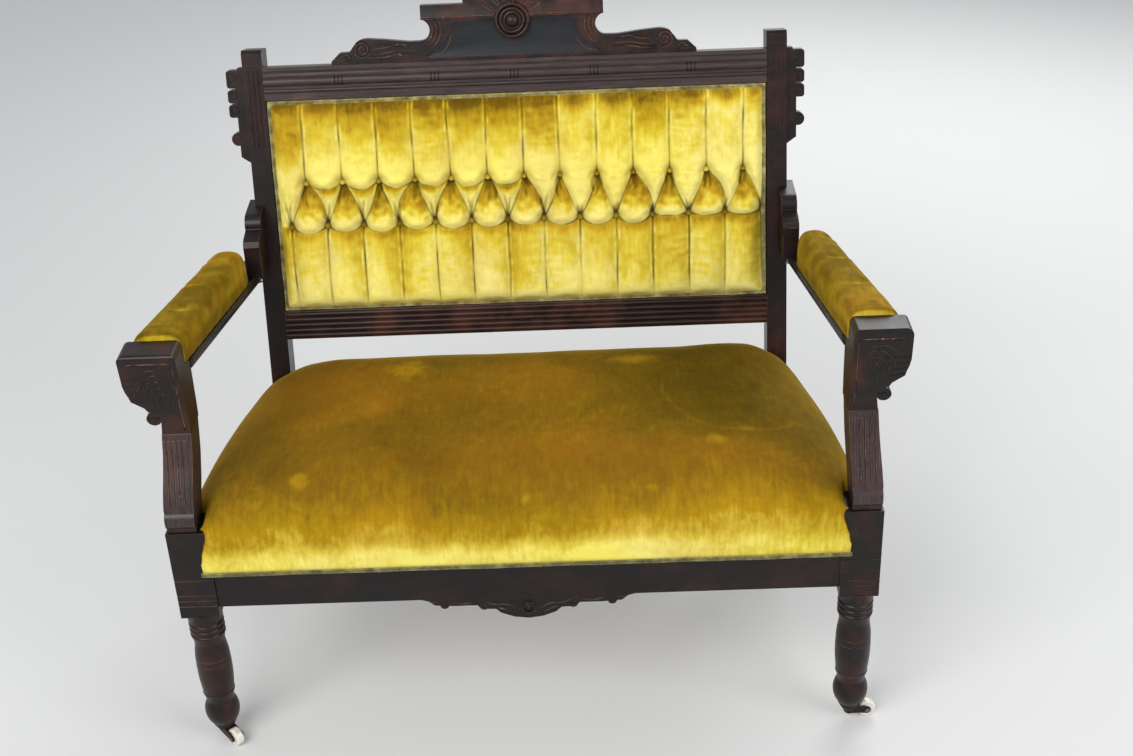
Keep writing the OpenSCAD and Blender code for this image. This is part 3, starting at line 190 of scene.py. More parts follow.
def velvet_material(name, mid, light="#f6e97c", bright="#d9bf45", deep="#5e4306", green=0.5, rusty=0.42):
    """Crushed cotton velvet. One attribute holds painted light and wear: how bright the pile is painted for
    the way each place faces, with painted highlights and pale worn spots. The attribute fold holds painted
    shade, darkest deep in a fold, and the attribute tone says whether it has turned olive or orange."""
    look = Look(name)
    tone = look.attribute("tone")
    patch = look.noise(30.0, 5.0, 0.62, 1.2)
    pile = look.noise(900.0, 2.0, 0.7)
    brush = look.noise(160.0, 3.0, 0.6, stretch=(1.0, 0.22, 0.22))
    stir = [(look.noise(7.0, 4.0, 0.6, 0.6), 0.42), (patch, 0.34), (brush, 0.3)]
    mean = 0.5 * sum(weight for _, weight in stir)
    # Painted light: the colour's level follows the attribute of painted light and wear, stirred by noise
    level = look.weighted(*stir, (look.attribute("nap"), 1.0), start=-mean, clamp=True)
    colour = look.ramp(level, (0.0, deep), (0.3, "#86640e"), (0.55, mid), (0.78, bright), (1.0, light))
    hue = look.ramp(look.noise(4.0, 3.0, 0.5, 0.4), (0.40, 0.0), (0.62, green))
    colour = look.mix(look.weighted((hue, 1.0), (tone, 1.0), clamp=True), colour, "#6f8a10", "SOFT_LIGHT")
    rust = look.ramp(look.noise(6.5, 4.0, 0.62, 0.3), (0.50, 0.0), (0.74, rusty))
    colour = look.mix(look.weighted((rust, 1.0), (tone, -0.5), clamp=True), colour, "#a8680c")
    # Painted shade: darker towards #3a2f06 where the fold attribute is high
    colour = look.mix(look.times(look.attribute("fold"), 0.9), colour, "#3a2f06")
    colour = look.mix(1.0, colour, look.ramp(pile, (0.3, 0.82), (0.7, 1.0)), "MULTIPLY")
    return look.finish({"Base Color": colour, "Roughness": 0.92, "Specular IOR Level": 0.12,
                        "Sheen Weight": 0.3, "Sheen Roughness": 0.35, "Sheen Tint": "#f2cf3c"},
                       look.weighted((pile, 0.35), (patch, 0.65)), 0.3, 1.2 * MM)


def braid_material(name, dark, mid, light):
    """Worn gimp: yellowed threads, greyed and darker in fine flecks."""
    look = Look(name)
    thread = look.noise(700.0, 2.0)
    colour = look.ramp(look.noise(60.0, 4.0, 0.6), (0.3, dark), (0.5, mid), (0.72, light))
    colour = look.mix(1.0, colour, look.ramp(thread, (0.3, 0.7), (0.65, 1.0)), "MULTIPLY")
    return look.finish({"Base Color": colour, "Roughness": 0.85, "Sheen Weight": 0.2}, thread, 0.5, 0.4 * MM)


def jute_material():
    """Coarse woven jute."""
    look = Look("jute_woven")
    wave = {"Vector": look.coords(), "Scale": 170.0, "Distortion": 1.5, "Detail": 2.0}
    threads = [look.node("TexWave", wave, bands_direction=axis).outputs["Fac"] for axis in "XY"]
    weave = look.times(*threads)
    colour = look.mix(look.ramp(weave, (0.1, 0.0), (0.6, 1.0)), "#6b5433", "#b39a6c")
    colour = look.mix(look.ramp(look.noise(14.0, 4.0), (0.4, 0.0), (0.75, 0.6)), colour, "#544027")
    return look.finish({"Base Color": colour, "Roughness": 0.95}, weave, 0.6, 0.6 * MM)


def metal_material(name, clean, dull, rough):
    """Old metal, dulled in spots."""
    look = Look(name)
    spots = look.noise(110.0, 5.0, 0.65)
    dulled = look.ramp(look.times(spots, look.noise(24.0, 3.0)), (0.2, 0.0), (0.4, 1.0))
    return look.finish({"Base Color": look.mix(dulled, clean, dull), "Metallic": 0.85,
                        "Roughness": look.ramp(spots, (0.3, rough - 0.1), (0.7, rough + 0.2))},
                       spots, 0.3, 0.4 * MM)


def porcelain_material():
    """Glazed white china, with faint grey crazing and dirt on the tread."""
    look = Look("porcelain_glazed")
    craze = look.node("TexVoronoi", {"Vector": look.coords(), "Scale": 260.0},
                      feature="DISTANCE_TO_EDGE").outputs["Distance"]
    dirt = look.noise(55.0, 5.0, 0.65)
    colour = look.mix(look.ramp(craze, (0.0, 0.35), (0.035, 0.0)), "#e9e4d8", "#a99f8b")
    colour = look.mix(look.ramp(dirt, (0.52, 0.0), (0.75, 0.55)), colour, "#8f8570")
    return look.finish({"Base Color": colour, "Roughness": look.ramp(dirt, (0.4, 0.14), (0.8, 0.5)),
                        "Coat Weight": 0.4})


MATERIALS = {
    "wood_x": wood_material("show_wood_across", "X", "#090605", "#170e0c", "#34180f"),
    "wood_y": wood_material("show_wood_deep", "Y"),
    "wood_z": wood_material("show_wood_upright", "Z"),
    "wood_warm": wood_material("show_wood_warm", "X", mid="#372019", warm="#522f22", red=0.8),
    "wood_red": wood_material("show_wood_rubbed", "Z", "#080504", "#180e0a", "#3c1b0d", red=0.85),
    "wood_crest": wood_material("show_wood_crest", "X", mid="#241615", warm="#4e281c", red=0.85),
    # Greyer, lighter copies of the show wood for the top rail and arm supports: painted highlight where their
    # faces catch the light
    "wood_grey": wood_material("show_wood_grey", "X", "#292120", "#4a3c3b", "#5a4138", red=0.35),
    "wood_grey_sheen_z": wood_material("show_wood_grey_upright", "Z", "#241c1b", "#443735", "#553a32", red=0.4),
    # Near-black wood for the ridges that line the rail's cuts: painted shade
    "wood_cut": wood_material("show_wood_cut", "Z", "#060404", "#0c0807", "#160c0a", red=0.0),
    "wood_field": wood_material("show_wood_field", "X", "#17181b", "#202226", "#2a2422", red=0.2),
    "frame_wood": plain_wood_material(),
    "velvet_seat": velvet_material("velvet_seat", "#ad8711", rusty=0.34),
    # A lighter copy of the same velvet for the back: painted light
    "velvet_back": velvet_material("velvet_back", "#c7a224", "#fcef8b", "#e6cf46", rusty=0.26),
    "velvet_arms": velvet_material("velvet_arms", "#ac8a20", deep="#5c4a0d", green=0.65),
    # Three copies of one gimp: the back's lightened and the seat's and arms' darkened, painted light and
    # shade for where each runs
    "braid": braid_material("braid_worn", "#625d31", "#9c9255", "#cdc184"),
    "braid_seat": braid_material("braid_seat", "#4f4a28", "#7d7642", "#a8a068"),
    "braid_shaded": braid_material("braid_shaded", "#1c180e", "#2f2814", "#4a4020"),
    "jute": jute_material(),
    "steel": metal_material("steel_aged", "#77736c", "#4b3a2b", 0.42),
    "iron": metal_material("cast_iron_dark", "#34302d", "#4a3020", 0.5),
    "porcelain": porcelain_material(),
}


# Mesh helpers

def link(name, data):
    """An object in the scene."""
    piece = bpy.data.objects.new(name, data)
    scene.collection.objects.link(piece)
    return piece


def paint(mesh, material):
    """Gives a mesh one of the materials, in the place of those that it has."""
    mesh.materials.clear()
    mesh.materials.append(MATERIALS[material])


def place(name, mesh, material, slot, *replaced):
    """A piece fixed to the frame, in the place of the nodes that it replaces."""
    paint(mesh, material)
    piece = link(name, mesh)
    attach(piece, "frame")
    if replaced:
        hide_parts(*replaced)
    return piece


def place_pad(name, mesh, material, replaced):
    """A stuffed pad in the place of its solid."""
    piece = place(name, mesh, material, "velvet", replaced)


def mesh_from(name, points, faces):
    mesh = bpy.data.meshes.new(name)
    mesh.from_pydata([tuple(p) for p in points], [], [tuple(f) for f in faces])
    mesh.update()
    mesh.shade_smooth()
    return mesh


def joined(parts):
    """The points and faces of several lumps as those of one mesh."""
    points, faces, base = [], [], 0
    for part_points, part_faces in parts:
        points.append(part_points)
        faces.append(np.asarray(part_faces) + base)
        base += len(part_points)
    return np.concatenate(points), np.concatenate(faces)


def read(items, name, size=3, kind=float):
    """A value of each of a mesh's items, one row per item."""
    values = np.empty(len(items) * size, kind)
    items.foreach_get(name, values)
    return values.reshape(-1, size)


def read_points(mesh):
    return read(mesh.vertices, "co")


def read_normals(mesh):
    return read(mesh.vertex_normals, "vector")


def read_edges(mesh):
    return read(mesh.edges, "vertices", 2, np.int32)


def write_points(mesh, points):
    mesh.vertices.foreach_set("co", np.ascontiguousarray(points, float).ravel())
    mesh.update()


def set_fields(mesh, domain="POINT", **fields):
    """Adds named values to a mesh, one for each of its points or face corners."""
    for name, values in fields.items():
        made = mesh.attributes.new(name, "FLOAT", domain)
        made.data.foreach_set("value", np.asarray(values, np.float32))


def grid_faces(columns, rows):
    grid = np.arange(columns * rows).reshape(rows, columns)
    return np.stack([grid[:-1, :-1], grid[:-1, 1:], grid[1:, 1:], grid[1:, :-1]], axis=-1).reshape(-1, 4)


def flat_grid(half, low, high, columns, rows):
    """Points across and up a rectangle, row by row."""
    x, v = np.meshgrid(np.linspace(-half, half, columns), np.linspace(low, high, rows))
    return x.ravel(), v.ravel()


def tube_faces(count, spokes, closed=False):
    i, k = np.meshgrid(np.arange(count if closed else count - 1), np.arange(spokes), indexing="ij")
    nxt, turn = (i + 1) % count, (k + 1) % spokes
    faces = np.stack([i * spokes + k, i * spokes + turn, nxt * spokes + turn, nxt * spokes + k], axis=-1)
    return faces.reshape(-1, 4)


def oval(width, height, spokes, sink=0.0):
    """A section of half sizes, sunk by a share of its half height."""
    angles = [2 * math.pi * spoke / spokes for spoke in range(spokes)]
    return [(width * math.cos(angle), height * (math.sin(angle) - sink)) for angle in angles]


def swept(line, across, out, section, closed=False):
    """Points and faces of a tube along a line. Its section gives places across and outward."""
    rings = [line + a * across + b * out for a, b in section]
    return np.stack(rings, axis=1).reshape(-1, 3), tube_faces(len(line), len(section), closed)


def unit(vectors):
    return vectors / np.linalg.norm(vectors, axis=1)[:, None]


def smoothstep(low, high, value):
    share = np.clip((np.asarray(value, float) - low) / (high - low), 0, 1)
    return share * share * (3 - 2 * share)


def step_mm(low, high, value):
    return smoothstep(low * MM, high * MM, value)


def bell(distance, width):
    return np.exp(-(distance / width) ** 2)


def cloud(points, size, seed):
    """Soft noise between about -1 and 1 with features of the given size."""
    shift = Vector((seed * 7.3, seed * 3.1, seed * 5.7))
    return np.array([mathutils.noise.noise(Vector(p) / size + shift) for p in points])


def neighbour_mean(edges, values):
    """The mean over each vertex's neighbours of an array with one row per vertex."""
    count = np.bincount(edges.ravel(), minlength=len(values)).astype(float)
    columns = []
    for column in values.T:
        total = np.bincount(edges[:, 0], column[edges[:, 1]], len(values))
        total += np.bincount(edges[:, 1], column[edges[:, 0]], len(values))
        columns.append(total / np.maximum(count, 1))
    return np.stack(columns, axis=-1)


def relax(points, edges, weight, times):
    """Eases the surface towards its neighbours, as far as each vertex's weight lets it."""
    for _ in range(times):
        points = points + 0.5 * weight[:, None] * (neighbour_mean(edges, points) - points)
    return points


def eased_points(mesh, free, all_times, free_times):
    """A mesh's points, first all eased and then those that are free."""
    points, edges = read_points(mesh), read_edges(mesh)
    points = relax(points, edges, np.ones(len(points)), all_times)
    return relax(points, edges, free, free_times)


def extended(points):
    """Points in a row, with one more at each end that goes straight on."""
    return np.concatenate([2 * points[:1] - points[1:2], points, 2 * points[-1:] - points[-2:-1]])


def even_mesh(name, cell):
    """A copy of a node's mesh rebuilt as an even net of small faces."""
    source = link("source", nodes[name].data.copy())
    rebuild = source.modifiers.new("rebuild", "REMESH")
    rebuild.mode = "VOXEL"
    rebuild.voxel_size = cell
    mesh = bpy.data.meshes.new_from_object(source.evaluated_get(bpy.context.evaluated_depsgraph_get()))
    mesh.name = "even_" + name
    mesh.shade_smooth()
    bpy.data.objects.remove(source)
    return mesh


# Wooden pieces: the built shape with softened, worn edges

EDGE_ROUND = 0.9 * MM
SHARP_EDGE = math.radians(24)       # edges that turn further than this are rounded
FLAT_EDGE = math.radians(0.8)       # edges that turn less than this aren't needed
CREASE = math.radians(35)           # the shading breaks at edges that turn further than this
FIELD_Y = 5.5 * MM                  # how far the crest board's field is sunk


def welded(name):
    """A working copy of a node's mesh, with points at one place made one."""
    made = bmesh.new()
    made.from_mesh(nodes[name].data)
    bmesh.ops.remove_doubles(made, verts=made.verts, dist=WELD)
    return made


def softened_mesh(name):
    """A copy of a node's mesh with its outer edges rounded. The attribute edge is 1 on the rounding."""
    made = welded(name)
    bmesh.ops.dissolve_limit(made, angle_limit=FLAT_EDGE, verts=made.verts, edges=made.edges)
    edges = [e for e in made.edges
             if len(e.link_faces) == 2 and e.is_convex and e.calc_face_angle(0) > SHARP_EDGE]
    bmesh.ops.bevel(made, geom=edges, offset=EDGE_ROUND, segments=2, profile=0.6, affect="EDGES",
                    clamp_overlap=True, material=1)
    bmesh.ops.triangulate(made, faces=[f for f in made.faces if len(f.verts) > 4])
    mesh = bpy.data.meshes.new("soft_" + name)
    made.to_mesh(mesh)
    made.free()
    worn = np.zeros(len(mesh.loops))
    for face in mesh.polygons:
        if face.material_index == 1:
            worn[face.loop_start:face.loop_start + face.loop_total] = 1.0
        face.material_index = 0
    set_fields(mesh, "CORNER", edge=worn)
    mesh.shade_smooth()
    mesh.set_sharp_from_angle(angle=CREASE)
    return mesh


def dress_wood(name, material):
    piece = place("wood_" + name, softened_mesh(name), material, "show_wood", name)
    piece.modifiers.new("flat_faces", "WEIGHTED_NORMAL").keep_sharp = True


def blacken_field(mesh):
    """The sunk field of the crest board keeps a darker finish than the board around it."""
    out = Vector(-LEAN_IN)
    floor = Vector(lean(0, FIELD_Y, V_CREST))
    mesh.materials.append(MATERIALS["wood_field"])
    for face in mesh.polygons:
        if abs((face.center - floor).dot(out)) < 0.3 * MM and face.normal.dot(out) > 0.9:
            face.material_index = 1


def dress_show_wood():
    for side in SIDES:
        for name, material in (("rear_post_", "wood_z"), ("post_ear_", "wood_z"), ("arm_riser_", "wood_z"),
                               ("arm_support_", "wood_grey_sheen_z"), ("arm_head_", "wood_red"),
                               ("front_leg_", "wood_red"), ("arm_rail_", "wood_y"), ("seat_rail_", "wood_y")):
            dress_wood(name + side, material)
    for name, material in (("seat_rail_front", "wood_x"), ("apron_drop", "wood_x"), ("top_rail", "wood_grey"),
                           ("lower_back_rail", "wood_warm"), ("crest_board", "wood_crest"),
                           ("crest_block", "wood_crest"), ("crest_roundel", "wood_warm")):
        dress_wood(name, material)
    blacken_field(bpy.data.meshes["soft_crest_board"])


def carry_over():
    """CAD nodes whose shape is right take a finish."""
    finishes = {"frame_wood": ["corner_blocks", "dowels", "back_panel_frame"],
                "jute": ["seat_webbing", "back_webbing", "seat_deck"],
                "steel": ["seat_springs", "arm_screws"] + ["caster_axle_" + c for c in CORNERS],
                "iron": ["caster_socket_" + c for c in CORNERS] + ["caster_horn_" + c for c in CORNERS],
                "porcelain": ["caster_wheel_" + c for c in CORNERS],
                "wood_x": ["seat_rail_rear"]}
    for material, names in finishes.items():
        for name in names:
            paint(nodes[name].data, material)


# Seat cushion

BLOCK_IN = 472 * MM                     # faces of the front blocks and rear posts that the seat is cut around
BLOCK_REAR_Y = FRONT_AXIS_Y + 31 * MM
POST_IN = 408 * MM
POST_FRONT_Y = 120 * MM
SPOTS = [  # pale rubbed places on the seat: x, y, half sizes, strength
    (-0.192, 0.055, 0.040, 0.036, 0.5), (0.182, 0.062, 0.042, 0.022, 0.55),
    (0.292, -0.190, 0.020, 0.014, 0.35), (-0.335, -0.250, 0.014, 0.014, 0.4),
    (0.005, -0.285, 0.006, 0.006, 0.35), (0.190, -0.275, 0.010, 0.005, 0.3)]
TONES = [  # where the seat has turned: x, y, half sizes, olive above 0 and orange below
    (0.33, -0.02, 0.17, 0.15, 0.8), (-0.34, 0.06, 0.15, 0.12, -0.8), (0.03, 0.02, 0.12, 0.10, -0.5),
    (-0.05, 0.12, 0.30, 0.10, 0.3), (0.15, -0.22, 0.40, 0.06, -0.4)]
RING = (0.335, -0.03, 0.115, 0.13)      # a faint ring on the seat: x, y, half sizes


def clear_of(a, b):
    """The distance from a corner, where a and b count from its two faces."""
    return np.hypot(np.maximum(0, a), np.maximum(0, b))


def seat_shape():
    """The cushion with eased edges, a high place at its rear right and shallow dips."""
    mesh = even_mesh("seat_cushion", 4.5 * MM)
    x, y, z = read_points(mesh).T
    side = np.abs(x)
    near_block = step_mm(70, 20, clear_of(BLOCK_IN - side, y - BLOCK_REAR_Y))
    near_post = step_mm(60, 15, clear_of(POST_IN - side, POST_FRONT_Y - y))
    free = step_mm(372, 392, z) * (1 - 0.9 * near_block) * (1 - 0.9 * near_post)
    points = eased_points(mesh, free, 4, 45)
    bulge = bell(x - 395 * MM, 85 * MM) * bell(y - 120 * MM, 75 * MM)
    points[:, 2] += 11 * MM * bulge * step_mm(400, 450, z)
    flat = points * (1, 1, 0.4)
    dip = 2.2 * MM * cloud(flat, 0.16, 1) + 0.7 * MM * cloud(flat, 0.055, 2)
    points[:, 2] += dip * step_mm(395, 440, z)
    write_points(mesh, points)
    return mesh


def seat_nap(mesh):
    """Painted light on the seat: dark on top and bright at the front's foot, by the way each place faces,
    with pale rubbed spots, a faint ring and turned places, and painted shade along its foot.
    """
    points, normals = read_points(mesh), read_normals(mesh)
    x, y, z = points.T
    side = np.abs(x)
    # Painted light: brighter where the surface faces forward, darker where it faces up
    facing = np.clip(-normals[:, 1], 0, 1) - 0.35 * normals[:, 2]
    wave = 9 * MM * cloud(points * (1, 0, 0), 0.09, 21) + 5 * MM * cloud(points * (1, 0.3, 0.3), 0.022, 22)
    front = smoothstep(0.1, 0.8, facing) * smoothstep(-0.20, -0.27, y)
    low = step_mm(402, 366, z + wave)
    nap = 0.25 + front * (0.24 * step_mm(450, 395, z + wave) + 0.36 * low)
    nap -= 0.13 * smoothstep(0.0, 0.12, y)
    nap -= front * low * (0.04 * smoothstep(0.15, 0.35, side) + 0.09 * smoothstep(0.15, 0.35, x))
    nap += 0.13 * smoothstep(-0.13, -0.25, y) * step_mm(478, 440, z + wave)
    rough = 0.32 * cloud(points, 0.02, 23) + 0.3 * cloud(points * (1, 0.4, 1), 0.006, 25)
    for sx, sy, rx, ry, strength in SPOTS:
        reach = np.hypot((x - sx) / rx, (y - sy) / ry)
        nap += 0.6 * strength * smoothstep(1.35, 0.35, reach + rough) * smoothstep(0.4, 0.46, z)
    sx, sy, rx, ry = RING
    ring = np.abs(np.hypot((x - sx) / rx, (y - sy) / ry) - 1 + 0.06 * cloud(points, 0.05, 24))
    nap += 0.12 * smoothstep(0.05, 0.0, ring) * smoothstep(0.45, 0.47, z) * smoothstep(0.04, -0.08, y)
    tone = sum(strength * bell(x - sx, rx) * bell(y - sy, ry) for sx, sy, rx, ry, strength in TONES)
    # fold: painted shade along the foot of the cushion
    set_fields(mesh, nap=nap, tone=tone, fold=0.55 * step_mm(345, 339, z))


def make_seat():
    mesh = seat_shape()
    seat_nap(mesh)
    place_pad("velvet_seat", mesh, "velvet_seat", "seat_cushion")


# Tufted back: velvet held down by buttons and fold lines and pushed out by its stuffing

PITCH = 60 * MM
TOP_ROW = 218 * MM          # heights of the two button rows above the foot of the panel
LOW_ROW = 146 * MM
TUFT_SHIFT = 8 * MM
PAD_HALF = 406.6 * MM
PAD_BACK_Y = 5.9 * MM
SWELL = 24 * MM
CLOTH_FRAMES = 20
CLOTH = {"quality": 6, "mass": 0.15, "tension_stiffness": 25, "compression_stiffness": 25,
         "shear_stiffness": 12, "bending_stiffness": 6, "use_pressure": True, "uniform_pressure_force": 9,
         "shrink_min": -0.018, "air_damping": 6, "vertex_group_mass": "pins"}
TOP_BUTTONS = [(TUFT_SHIFT + PITCH * k, TOP_ROW) for k in range(-6, 7)]
LOW_BUTTONS = [(TUFT_SHIFT + PITCH * (k - 0.5), LOW_ROW) for k in range(-6, 8)]


def drifting_line(x, v0, v1, seed, steps=12):
    """A nearly upright fold line that starts at a button and wanders a little."""
    chance = random.Random(seed)
    phase = chance.uniform(0, 6.28)
    slope = chance.uniform(-2.4, 2.4) * MM
    line = []
    for i in range(steps + 1):
        wander = slope * i / steps + MM * math.sin(phase + 5 * i / steps) * i / steps
        line.append((x + wander, v0 + (v1 - v0) * i / steps))
    return line


def bowed_line(a, b, bow, steps=10):
    """A fold line from a to b that bows sideways by a share of its length."""
    (ax, av), (bx, bv) = a, b
    line = []
    for i in range(steps + 1):
        share = i / steps
        off = bow * 4 * share * (1 - share)
        line.append((ax + (bx - ax) * share - (bv - av) * off, av + (bv - av) * share + (bx - ax) * off))
    return line


def back_folds():
    """Fold lines: the upright ones, the slanting and sagging ones between the rows, and the puffs' lips."""
    chance = random.Random(8)
    upright = [drifting_line(x, v, PANEL_H, i) for i, (x, v) in enumerate(TOP_BUTTONS)]
    upright += [drifting_line(x, v, 0, 40 + i) for i, (x, v) in enumerate(LOW_BUTTONS)]
    slanting = []
    for x, v in TOP_BUTTONS:
        for step in (-1, 1):
            foot = (x + step * PITCH / 2, LOW_ROW)
            slanting.append(bowed_line((x, v), foot, step * chance.uniform(-0.05, 0.15)))
    sagging = [bowed_line(a, b, chance.uniform(-0.21, -0.13) if a[0] < 0.2 else chance.uniform(-0.07, -0.02))
               for a, b in zip(LOW_BUTTONS, LOW_BUTTONS[1:])]
    lips = [bowed_line(a, b, chance.uniform(-0.24, -0.15)) for a, b in zip(TOP_BUTTONS[:6], TOP_BUTTONS[1:7])]
    return upright, slanting, sagging, lips


UPRIGHT, SLANTING, SAGGING, LIPS = back_folds()


def crease_plan():
    """Short creases: where each starts, its heading in degrees, its reach and its bend."""
    chance = random.Random(3)
    plan = []
    for x, v in TOP_BUTTONS:
        for heading in (-101, -91, -80):
            turned = heading + chance.uniform(-4, 4)
            reach = chance.uniform(18, 46) * MM
            plan.append((x, v, turned, reach, chance.uniform(-0.2, 0.2)))
    for x, v in LOW_BUTTONS:
        gathered = 1.0 if x < 0.05 else 0.55
        for side in (-1, 1):
            reach = chance.uniform(42, 58) * MM * gathered
            plan.append((x, v, 90 + side * chance.uniform(7, 13), reach, side * chance.uniform(-0.10, 0.04)))
    return plan


def distance_to(lines, x, v):
    """The distance from each point to the nearest of some lines."""
    best = np.full(x.shape, 1.0)
    for line in lines:
        for (ax, av), (bx, bv) in zip(line, line[1:]):
            near = (np.abs(x - 0.5 * (ax + bx)) < 0.06) & (np.abs(v - 0.5 * (av + bv)) < 0.06)
            px, pv = x[near] - ax, v[near] - av
            dx, dv = bx - ax, bv - av
            share = np.clip((px * dx + pv * dv) / (dx * dx + dv * dv), 0, 1)
            best[near] = np.minimum(best[near], np.hypot(px - share * dx, pv - share * dv))
    return best


def inside_puffs(x, v):
    """How far each point lies inside the puff below a top button, less than 0 outside all of them."""
    inside = np.full(x.shape, -1.0)
    for pair in zip(SLANTING[::2], SLANTING[1::2]):
        edges = []
        for line in pair:
            across, height = zip(*sorted(line, key=lambda point: point[1]))
            edges.append(np.interp(v, height, across))
        inside = np.maximum(inside, np.minimum(x - edges[0], edges[1] - x))
    return inside


def row_height(lines, x, plain):
    """The height of a row of sagging lines over each x, and a plain height where the row has none."""
    points = sorted(point for line in lines for point in line)
    across, height = zip(*points)
    return np.where((x < across[0]) | (x > across[-1]), plain, np.interp(x, across, height))


class Tufts:
    """An even grid of points on the panel, and how far each lies from the folds and buttons."""

    def __init__(self, columns, rows):
        x, v = self.x, self.v = flat_grid(PAD_HALF, 0.9 * MM, PANEL_H - 0.9 * MM, columns, rows)
        self.up, self.slant, self.sag, self.lip = (distance_to(lines, x, v)
                                                   for lines in (UPRIGHT, SLANTING, SAGGING, LIPS))
        self.fold = np.minimum(np.minimum(self.up, self.slant), np.minimum(self.sag, self.lip))
        self.top, self.low = (distance_to([[(bx, bv), (bx + 0.1 * MM, bv)] for bx, bv in row], x, v)
                              for row in (TOP_BUTTONS, LOW_BUTTONS))
        self.button = np.minimum(self.top, self.low)
        self.inside = inside_puffs(x, v)
        self.rise = np.clip((v - LOW_ROW) / (TOP_ROW - LOW_ROW), 0, 1)

    def cloud(self, size, seed, across=1.0, along=1.0):
        return cloud(np.stack([across * self.x, along * self.v, 0 * self.x], axis=-1), size, seed)

    def channel(self, shift, low, high, seed):
        """A chance value for each point's channel, and how far across it the point lies, -1 to 1."""
        count = (self.x - TUFT_SHIFT) / PITCH + shift
        number = np.floor(count)
        values = np.random.default_rng(seed).uniform(low, high, 20)
        return values[(number + 8).astype(int)], 2 * (count - number) - 1

    def creases(self):
        """How deep each point lies in a short crease, and how far it lies on the shoulders beside one."""
        valley, shoulder = np.zeros(self.x.shape), np.zeros(self.x.shape)
        for start_x, start_v, heading, reach, bend in crease_plan():
            east, north = math.cos(math.radians(heading)), math.sin(math.radians(heading))
            x, v = self.x - start_x, self.v - start_v
            share = (x * east + v * north) / reach
            aside = v * east - x * north - 4 * bend * reach * share * (1 - share)
            fade = smoothstep(0.0, 0.1, share) * smoothstep(1.0, 0.5, share)
            valley = np.maximum(valley, fade * bell(aside, 2.2 * MM))
            shoulder = np.maximum(shoulder, fade * bell(np.abs(aside) - 4.8 * MM, 2.2 * MM))
        return valley, shoulder


def round_over(distance, width):
    """A round shoulder: 0 at a fold, 1 at the given distance or further from it."""
    share = np.clip(distance / width, 0, 1)
    return np.sqrt(np.clip(1 - (1 - share) ** 2, 0, 1))


def back_start(at):
    """The height of the velvet before it is blown out, and how firmly each point is pinned."""
    edge = np.minimum(PAD_HALF - 8 * MM - np.abs(at.x), np.minimum(at.v - 8 * MM, PANEL_H - 8 * MM - at.v))
    rim = round_over(np.maximum(edge, 0), 26 * MM)
    hanging = step_mm(2.5, -2.5, at.inside)     # the tongues between the puffs
    tongue = (0.42 + 0.62 * at.rise) * round_over(at.slant, np.maximum(13 * MM * (0.35 + at.rise), 4 * MM))
    puff = (1.0 - 0.62 * at.rise) * round_over(at.slant, np.maximum(15 * MM * (1.25 - at.rise), 4 * MM))
    middle = 0.16 + 0.84 * (hanging * tongue + (1 - hanging) * puff)
    between = step_mm(-2, 4, at.v - LOW_ROW) * step_mm(-2, 4, TOP_ROW - at.v)
    height = SWELL * rim * (0.30 + 0.70 * round_over(at.up, 27 * MM)) * (1 + between * (middle - 1))
    height *= (0.45 + 0.55 * round_over(at.sag, 18 * MM)) * (0.55 + 0.45 * round_over(at.lip, 16 * MM))
    height *= 1 - 0.9 * bell(at.button, 10 * MM)
    pins = np.maximum(step_mm(3.2, 0.8, at.fold), step_mm(7, 5, at.button))
    return 3 * MM + height, np.round(np.maximum(pins, step_mm(2, 0, edge)), 1)


def blow_out(mesh, pins):
    """The points of a cloth held at its pins and pushed along its normals for some frames."""
    cloth = link("cloth", mesh)
    group = cloth.vertex_groups.new(name="pins")
    for weight in np.unique(pins[pins > 0]):
        group.add(np.flatnonzero(pins == weight).tolist(), float(weight), "REPLACE")
    modifier = cloth.modifiers.new("cloth", "CLOTH")
    for name, value in CLOTH.items():
        setattr(modifier.settings, name, value)
    modifier.settings.effector_weights.gravity = 0
    modifier.collision_settings.use_collision = False
    modifier.point_cache.frame_end = CLOTH_FRAMES
    for frame_number in range(1, CLOTH_FRAMES + 1):
        scene.frame_set(frame_number)
        shown = cloth.evaluated_get(bpy.context.evaluated_depsgraph_get())
    points = read_points(shown.data)
    bpy.data.objects.remove(cloth)
    scene.frame_set(1)
    return points


def finer(grid):
    """A grid of points with a smooth row and column added between each pair."""
    for _ in range(2):
        padded = extended(grid)
        middle = (9 * (padded[1:-2] + padded[2:-1]) - padded[:-3] - padded[3:]) / 16
        made = np.empty((2 * len(grid) - 1,) + grid.shape[1:])
        made[::2] = grid
        made[1::2] = middle
        grid = made.swapaxes(0, 1)
    return grid


def closed_slab(front, columns, rows, back):
    """Points and faces of a slab: a grid of front points, walls to its flat back, and the back."""
    grid = np.arange(columns * rows).reshape(rows, columns)
    loop = np.concatenate([grid[0], grid[1:, -1], grid[-1, -2::-1], grid[-2:0:-1, 0]])
    outer = len(front) + np.arange(len(loop))
    walls = np.stack([np.roll(loop, -1), loop, outer, np.roll(outer, -1)], axis=-1)
    faces = [*grid_faces(columns, rows), *walls, outer[::-1]]
    return np.concatenate([front, back[loop]]), faces


